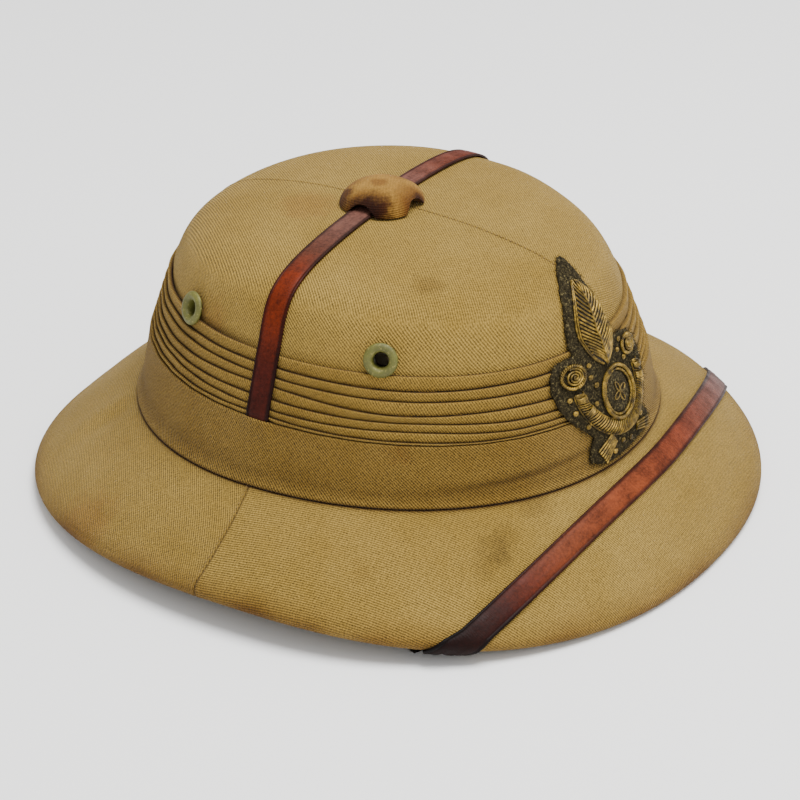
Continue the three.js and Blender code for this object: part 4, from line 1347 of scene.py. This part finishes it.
def fibre_tree():
    """Short bent hairs scattered over a surface."""
    tree, given, names = open_group("felt_hairs", Hairs_per_Area="Float", Length="Float",
                                    Thickness="Float", Wool="Material")
    spots = add_node(tree, "GeometryNodeDistributePointsOnFaces", {},
                     {"Mesh": given.outputs["Geometry"], "Density": given.outputs["Hairs per Area"],
                      "Seed": 5})
    bent = add_node(tree, "GeometryNodeCurvePrimitiveBezierSegment", {},
                    {"Resolution": 4, "Start": (0, 0, -0.1), "Start Handle": (0.1, 0, 0.3),
                     "End Handle": (0.5, 0.2, 0.6), "End": (0.9, 0.1, 0.5)})
    ring = add_node(tree, "GeometryNodeCurvePrimitiveCircle", {},
                    {"Resolution": 3, "Radius": given.outputs["Thickness"]})
    hair = add_node(tree, "GeometryNodeCurveToMesh", {},
                    {"Curve": bent.outputs[0], "Profile Curve": ring.outputs[0]})
    swing = add_node(tree, "FunctionNodeRandomValue", {"data_type": "FLOAT_VECTOR"},
                     {0: (-0.9, -0.9, -3.14), 1: (0.9, 0.9, 3.14), "Seed": 8})
    turned = add_node(tree, "FunctionNodeRotateRotation", {"rotation_space": "LOCAL"},
                      {"Rotation": spots.outputs["Rotation"], "Rotate By": swing.outputs[0]})
    grow = add_node(tree, "FunctionNodeRandomValue", {"data_type": "FLOAT"},
                    {2: 0.5, 3: 1.2, "Seed": 3})
    sized = maths(tree, "MULTIPLY", grow.outputs[1], given.outputs["Length"])
    laid = add_node(tree, "GeometryNodeInstanceOnPoints", {},
                    {"Points": spots.outputs["Points"], "Instance": hair.outputs[0],
                     "Rotation": turned.outputs[0], "Scale": sized})
    whole = add_node(tree, "GeometryNodeRealizeInstances", {}, {"Geometry": laid.outputs[0]})
    close_group(tree, whole.outputs[0], given.outputs["Wool"])
    return tree, names


wool = felt_material()
felt_loop = smooth_loop(felt_outline, 7)
badge_felt = felt_mesh("badge_felt_backing", felt_loop, -0.0002, felt_thickness)
hair_source = linked("badge_hair_source", badge_felt.data.copy())
hairs = grown("badge_felt_hairs", hair_source, fibre_tree(),
              {"Hairs per Area": 1600000.0, "Length": 0.0016, "Thickness": 0.045, "Wool": wool})
finish(badge_felt, "dark_felt", wool, "badge_felt")
finish(hairs, "dark_felt", wool)


# ---- Badge embroidery ----------------------------------------------------------------------
# Bullion work: fine tarnished gilt wire coiled into soft cords, which are cut, threaded like
# beads and sewn side by side over padding. The emblem is a plain leaf, ring, garland and tails.

def bullion_tree():
    """Thick soft cords of coiled wire along curves."""
    tree, given, names = open_group("bullion_cord", Cord_Radius="Float", Coil_Pitch="Float",
                                    Wire="Material")
    turns = add_node(tree, "GeometryNodeResampleCurve", {"mode": "LENGTH"},
                     {"Curve": given.outputs["Geometry"], "Length": given.outputs["Coil Pitch"]})
    number = add_node(tree, "GeometryNodeInputIndex")
    odd = maths(tree, "MODULO", number.outputs[0], 2.0)
    swell = spread(tree, odd, 0.0, 1.0, 0.8, 1.0)
    rounded = add_node(tree, "GeometryNodeSetCurveRadius", {},
                       {"Curve": turns.outputs[0], "Radius": swell})
    ring = add_node(tree, "GeometryNodeCurvePrimitiveCircle", {},
                    {"Resolution": 6, "Radius": given.outputs["Cord Radius"]})
    cord = add_node(tree, "GeometryNodeCurveToMesh", {},
                    {"Curve": rounded.outputs[0], "Profile Curve": ring.outputs[0],
                     "Scale": swell, "Fill Caps": True})
    close_group(tree, cord.outputs[0], given.outputs["Wire"])
    return tree, names


def gilt_material():
    """Silver-gilt wire, tarnished: metal with an uneven brown-green bloom, dull in the hollows and
    bright on the rubbed crests."""
    material, tree, shader = new_material("tarnished gilt wire")
    place = add_node(tree, "ShaderNodeTexCoord").outputs["Object"]
    bloom = noise(tree, place, 260.0, 6.0, 0.7)
    tone = tone_ramp(tree, bloom, [(0.36, "#2C220A"), (0.5, "#6A5418"), (0.68, "#B08E38")])
    surface(tree, shader, tone, bloom, 0.4, 0.0002)
    shader.inputs["Metallic"].default_value = 0.55
    shader.inputs["Roughness"].default_value = 0.42
    return material


bullion_cord = bullion_tree()
gilt = gilt_material()
work_top = felt_thickness + 0.0001


def embroidered(name, paths, node, radius=0.0004, pitch=0.00026):
    """Sews cords along paths of x, z and height above the felt."""
    laid = []
    for path in paths:
        x, z, height = np.array(path, float).T
        laid.append(on_front(x * mm, z * mm, work_top + height * mm))
    cords = grown(name, curve_piece(name + "_path", laid), bullion_cord,
                  {"Cord Radius": radius, "Coil Pitch": pitch, "Wire": gilt})
    nodes = (node,) if node else ()
    return finish(cords, "bullion_wire", gilt, *nodes)


def padded_form(name, chart, height, slot, material):
    """A low domed pad: chart gives its places at parts along and across it, from -1 to 1."""
    alongs = np.linspace(0.01, 0.99, 40)
    acrosses = np.linspace(-1, 1, 15)
    rings = []
    for along in alongs:
        x, z = chart(np.full_like(acrosses, along), acrosses)
        crest = height * np.sqrt(np.clip(1 - acrosses ** 2, 0, 1)) * mm
        crest *= min(1.0, 4 * math.sqrt(along * (1 - along)))
        top = on_front(x * mm, z * mm, work_top - 0.0002 + crest)
        low = on_front(x * mm, z * mm, np.full_like(x, work_top - 0.0005))[::-1]
        rings.append(np.concatenate([top, low[1:-1]]))
    return finish(ring_mesh(name, np.array(rings)), slot, material)


leaf_foot = np.array((-8.2, 86.4))
leaf_tip = np.array((-3.4, 118.6))
leaf_half_width = 10.8


def leaf_chart(along, across):
    axis = leaf_tip - leaf_foot
    side = np.array((axis[1], -axis[0])) / np.linalg.norm(axis)
    half = leaf_half_width * np.sin(math.pi * np.clip(along, 0, 1) ** 0.88) ** 0.72
    bend = 1.3 * np.sin(math.pi * along)
    x = leaf_foot[0] + axis[0] * along + side[0] * (half * across) - bend
    z = leaf_foot[1] + axis[1] * along + side[1] * (half * across)
    return x, z


def leaf_paths():
    paths = []
    t = np.linspace(0, 1, 12)
    for side in (-1, 1):
        for start in np.linspace(0.0, 0.86, 17):
            along = np.minimum(start + 0.2 * t * (1 - 0.4 * start), 0.98)
            across = side * t * 0.86
            x, z = leaf_chart(along, across)
            height = 0.5 + 1.3 * np.sqrt(1 - across ** 2) * (1 - 0.4 * along)
            paths.append(np.c_[x, z, height])
    run = np.linspace(0.01, 0.985, 40)
    for across, height in ((1.0, 0.45), (0.9, 0.75)):
        for side in (-1, 1):
            x, z = leaf_chart(run, np.full_like(run, side * across))
            paths.append(np.c_[x, z, np.full_like(run, height)])
    x, z = leaf_chart(run, np.zeros_like(run))
    paths.append(np.c_[x, z, 2.2 - 0.9 * run])
    return paths


# The padding is near-black, painted shade for the gaps between the cords laid over it.
gap_shade_padding = plain_material("padding under gilt wire, painted shade between cords", "#1C1406", 0.7)

padded_form("badge_leaf_padding", leaf_chart, 1.4, "bullion_wire", gap_shade_padding)
embroidered("badge_leaf_cords", leaf_paths(), "badge_leaf", radius=0.00054)

ring_centre = (-5.0, 72.7)
ring_reach = 11.0


def rope_paths(centre, reach_x, reach_z, strand, twists, strands, height):
    """Strands twisted round one another along an oval."""
    t = np.linspace(0, 2 * math.pi, 24 * twists // 2)
    paths = []
    for k in range(strands):
        phase = twists * t + 2 * math.pi * k / strands
        out = strand * np.cos(phase)
        x = centre[0] + (reach_x + out) * np.cos(t)
        z = centre[1] + (reach_z + out) * np.sin(t)
        paths.append(np.c_[x, z, height + strand * np.sin(phase)])
    return paths


embroidered("badge_ring_cords",
            rope_paths(ring_centre, ring_reach, ring_reach, 0.5, 26, 3, 1.1)
            + rope_paths(ring_centre, ring_reach - 1.7, ring_reach - 1.7, 0.2, 20, 2, 0.7),
            "badge_ring", radius=0.00042)


def boss_chart(along, across):
    turn = math.pi * (along - 0.5)
    return (ring_centre[0] + 8.6 * np.cos(turn) * across, ring_centre[1] + 8.6 * np.sin(turn))


boss = padded_form("badge_boss_pad", boss_chart, 0.9, "dark_felt", wool)
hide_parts("badge_boss")
boss_petals = []
for k in range(4):
    t = np.linspace(0, 2 * math.pi, 22)
    turn = math.radians(20 + 90 * k)
    out, aside = 2.6 - 2.2 * np.cos(t), 1.1 * np.sin(t)
    boss_petals.append(np.c_[ring_centre[0] + out * math.cos(turn) - aside * math.sin(turn),
                             ring_centre[1] + out * math.sin(turn) + aside * math.cos(turn),
                             1.25 + 0 * t])
embroidered("badge_boss_petals", boss_petals, None, radius=0.0003)

# Middle line of the garland that hangs below the ring, and half its width, in millimetres.
garland_line = [
    # x, z, half width
    (-28.2, 81.5, 2.2), (-27.6, 75.5, 2.6), (-23.4, 67.3, 2.9), (-14.5, 60.2, 2.9),
    (-4, 57.3, 2.8), (5, 58.8, 2.7), (10.4, 64.5, 2.6), (13, 72, 2.3), (13.2, 80.5, 2.0),
]


def garland_chart(along, across):
    stops = np.linspace(0, 1, len(garland_line))
    table = np.array(garland_line)

    def smoothed(column):
        near = [np.interp(np.clip(along + step, 0, 1), stops, table[:, column])
                for step in (-0.06, -0.03, 0, 0.03, 0.06)]
        return np.mean(near, axis=0)

    def middle(at):
        return np.stack([np.interp(np.clip(at, 0, 1), stops, table[:, i]) for i in (0, 1)])

    way = middle(along + 0.07) - middle(along - 0.07)
    way = way / np.linalg.norm(way, axis=0)
    half = smoothed(2)
    return smoothed(0) - way[1] * half * across, smoothed(1) + way[0] * half * across


def crosswise_paths(chart, places, slant, height):
    """Short cords sewn side by side across a form."""
    paths = []
    t = np.linspace(-1, 1, 9)
    for along in places:
        x, z = chart(np.clip(along + slant * t, 0, 1), t)
        paths.append(np.c_[x, z, height * np.sqrt(1 - (0.92 * t) ** 2) + 0.2])
    return paths


padded_form("badge_garland_padding", garland_chart, 1.3, "bullion_wire", gap_shade_padding)
border = np.linspace(0.0, 1.0, 90)
garland_borders = []
for side in (-1, 1):
    x, z = garland_chart(border, np.full_like(border, side * 1.12))
    garland_borders.append(np.c_[x, z, np.full_like(border, 0.35)])
embroidered("badge_garland_cords",
            crosswise_paths(garland_chart, np.linspace(0.01, 0.99, 56), 0.02, 1.45)
            + garland_borders, "badge_garland", radius=0.0004)

# Thick wraps that tie the garland below each rosette.
ties = [place + step for place in (0.07, 0.18, 0.88, 0.95) for step in (-0.012, 0.0, 0.012)]
embroidered("badge_garland_ties", crosswise_paths(garland_chart, ties, 0.0, 2.3), None,
            radius=0.00058)

# Small knots of cord that fill the felt between the larger forms.
knot_places = [
    (-18.5, 89.5), (-19.5, 84.5), (-17.5, 80.5), (2.5, 88.0), (5.8, 83.5), (6.0, 91.3),
    (17.3, 84.0), (17.6, 75.5), (16.2, 68.5), (-33.2, 79.5), (-32.4, 73.5), (-27.8, 66.0),
    (-20.5, 73.5), (-9.0, 52.5), (-3.0, 51.2), (-15.5, 50.2), (8.5, 57.0),
]
t = np.linspace(0, 4.2 * math.pi, 34)
grow = 0.35 + 0.9 * t / t[-1]
knots = [np.c_[x + grow * np.cos(t), z + grow * 0.8 * np.sin(t), 0.9 - 0.5 * t / t[-1]]
         for x, z in knot_places]
embroidered("badge_knots", knots, None, radius=0.00036)

# Each rosette: its centre and its two half widths, in millimetres.
rosettes = {
    "badge_rosette_right": ((-28.2, 88.0), 6.6, 4.9),
    "badge_rosette_left": ((11.3, 87.0), 5.4, 3.9),
}
for name, (centre, wide, tall) in rosettes.items():
    t = np.linspace(0.3, 3.3 * 2 * math.pi, 180)
    grow = t / t[-1] * 0.72
    spiral = np.c_[centre[0] + wide * grow * np.cos(t), centre[1] + tall * grow * np.sin(t),
                   2.0 - 1.2 * grow ** 2]
    rope = rope_paths(centre, wide * 0.92, tall * 0.92, 0.42, 16, 2, 0.9)
    embroidered(name + "_cords", [spiral, *rope], name, radius=0.0005)

# Each ribbon tail: its two ends and half its width at them, in millimetres.
tails = {
    "badge_tail_right": ((-14.6, 55.9), (-24.0, 50.6), 2.2, 3.5),
    "badge_tail_left": ((2.6, 53.6), (13.6, 51.2), 1.3, 2.0),
}
for name, (start, end, narrow, wide) in tails.items():
    start, end = np.array(start), np.array(end)
    way = (end - start) / np.linalg.norm(end - start)
    side = np.array((-way[1], way[0]))
    paths = []
    t = np.linspace(0, 1, 10)
    for across in np.linspace(-1, 1, 6 if wide > 2.5 else 4):
        half = narrow + (wide - narrow) * t
        line = start + np.outer(t, end - start) + np.outer(half * across, side)
        paths.append(np.c_[line, 0.9 - 0.3 * across ** 2 + 0 * t])
    embroidered(name + "_cords", paths, name, radius=0.00048)
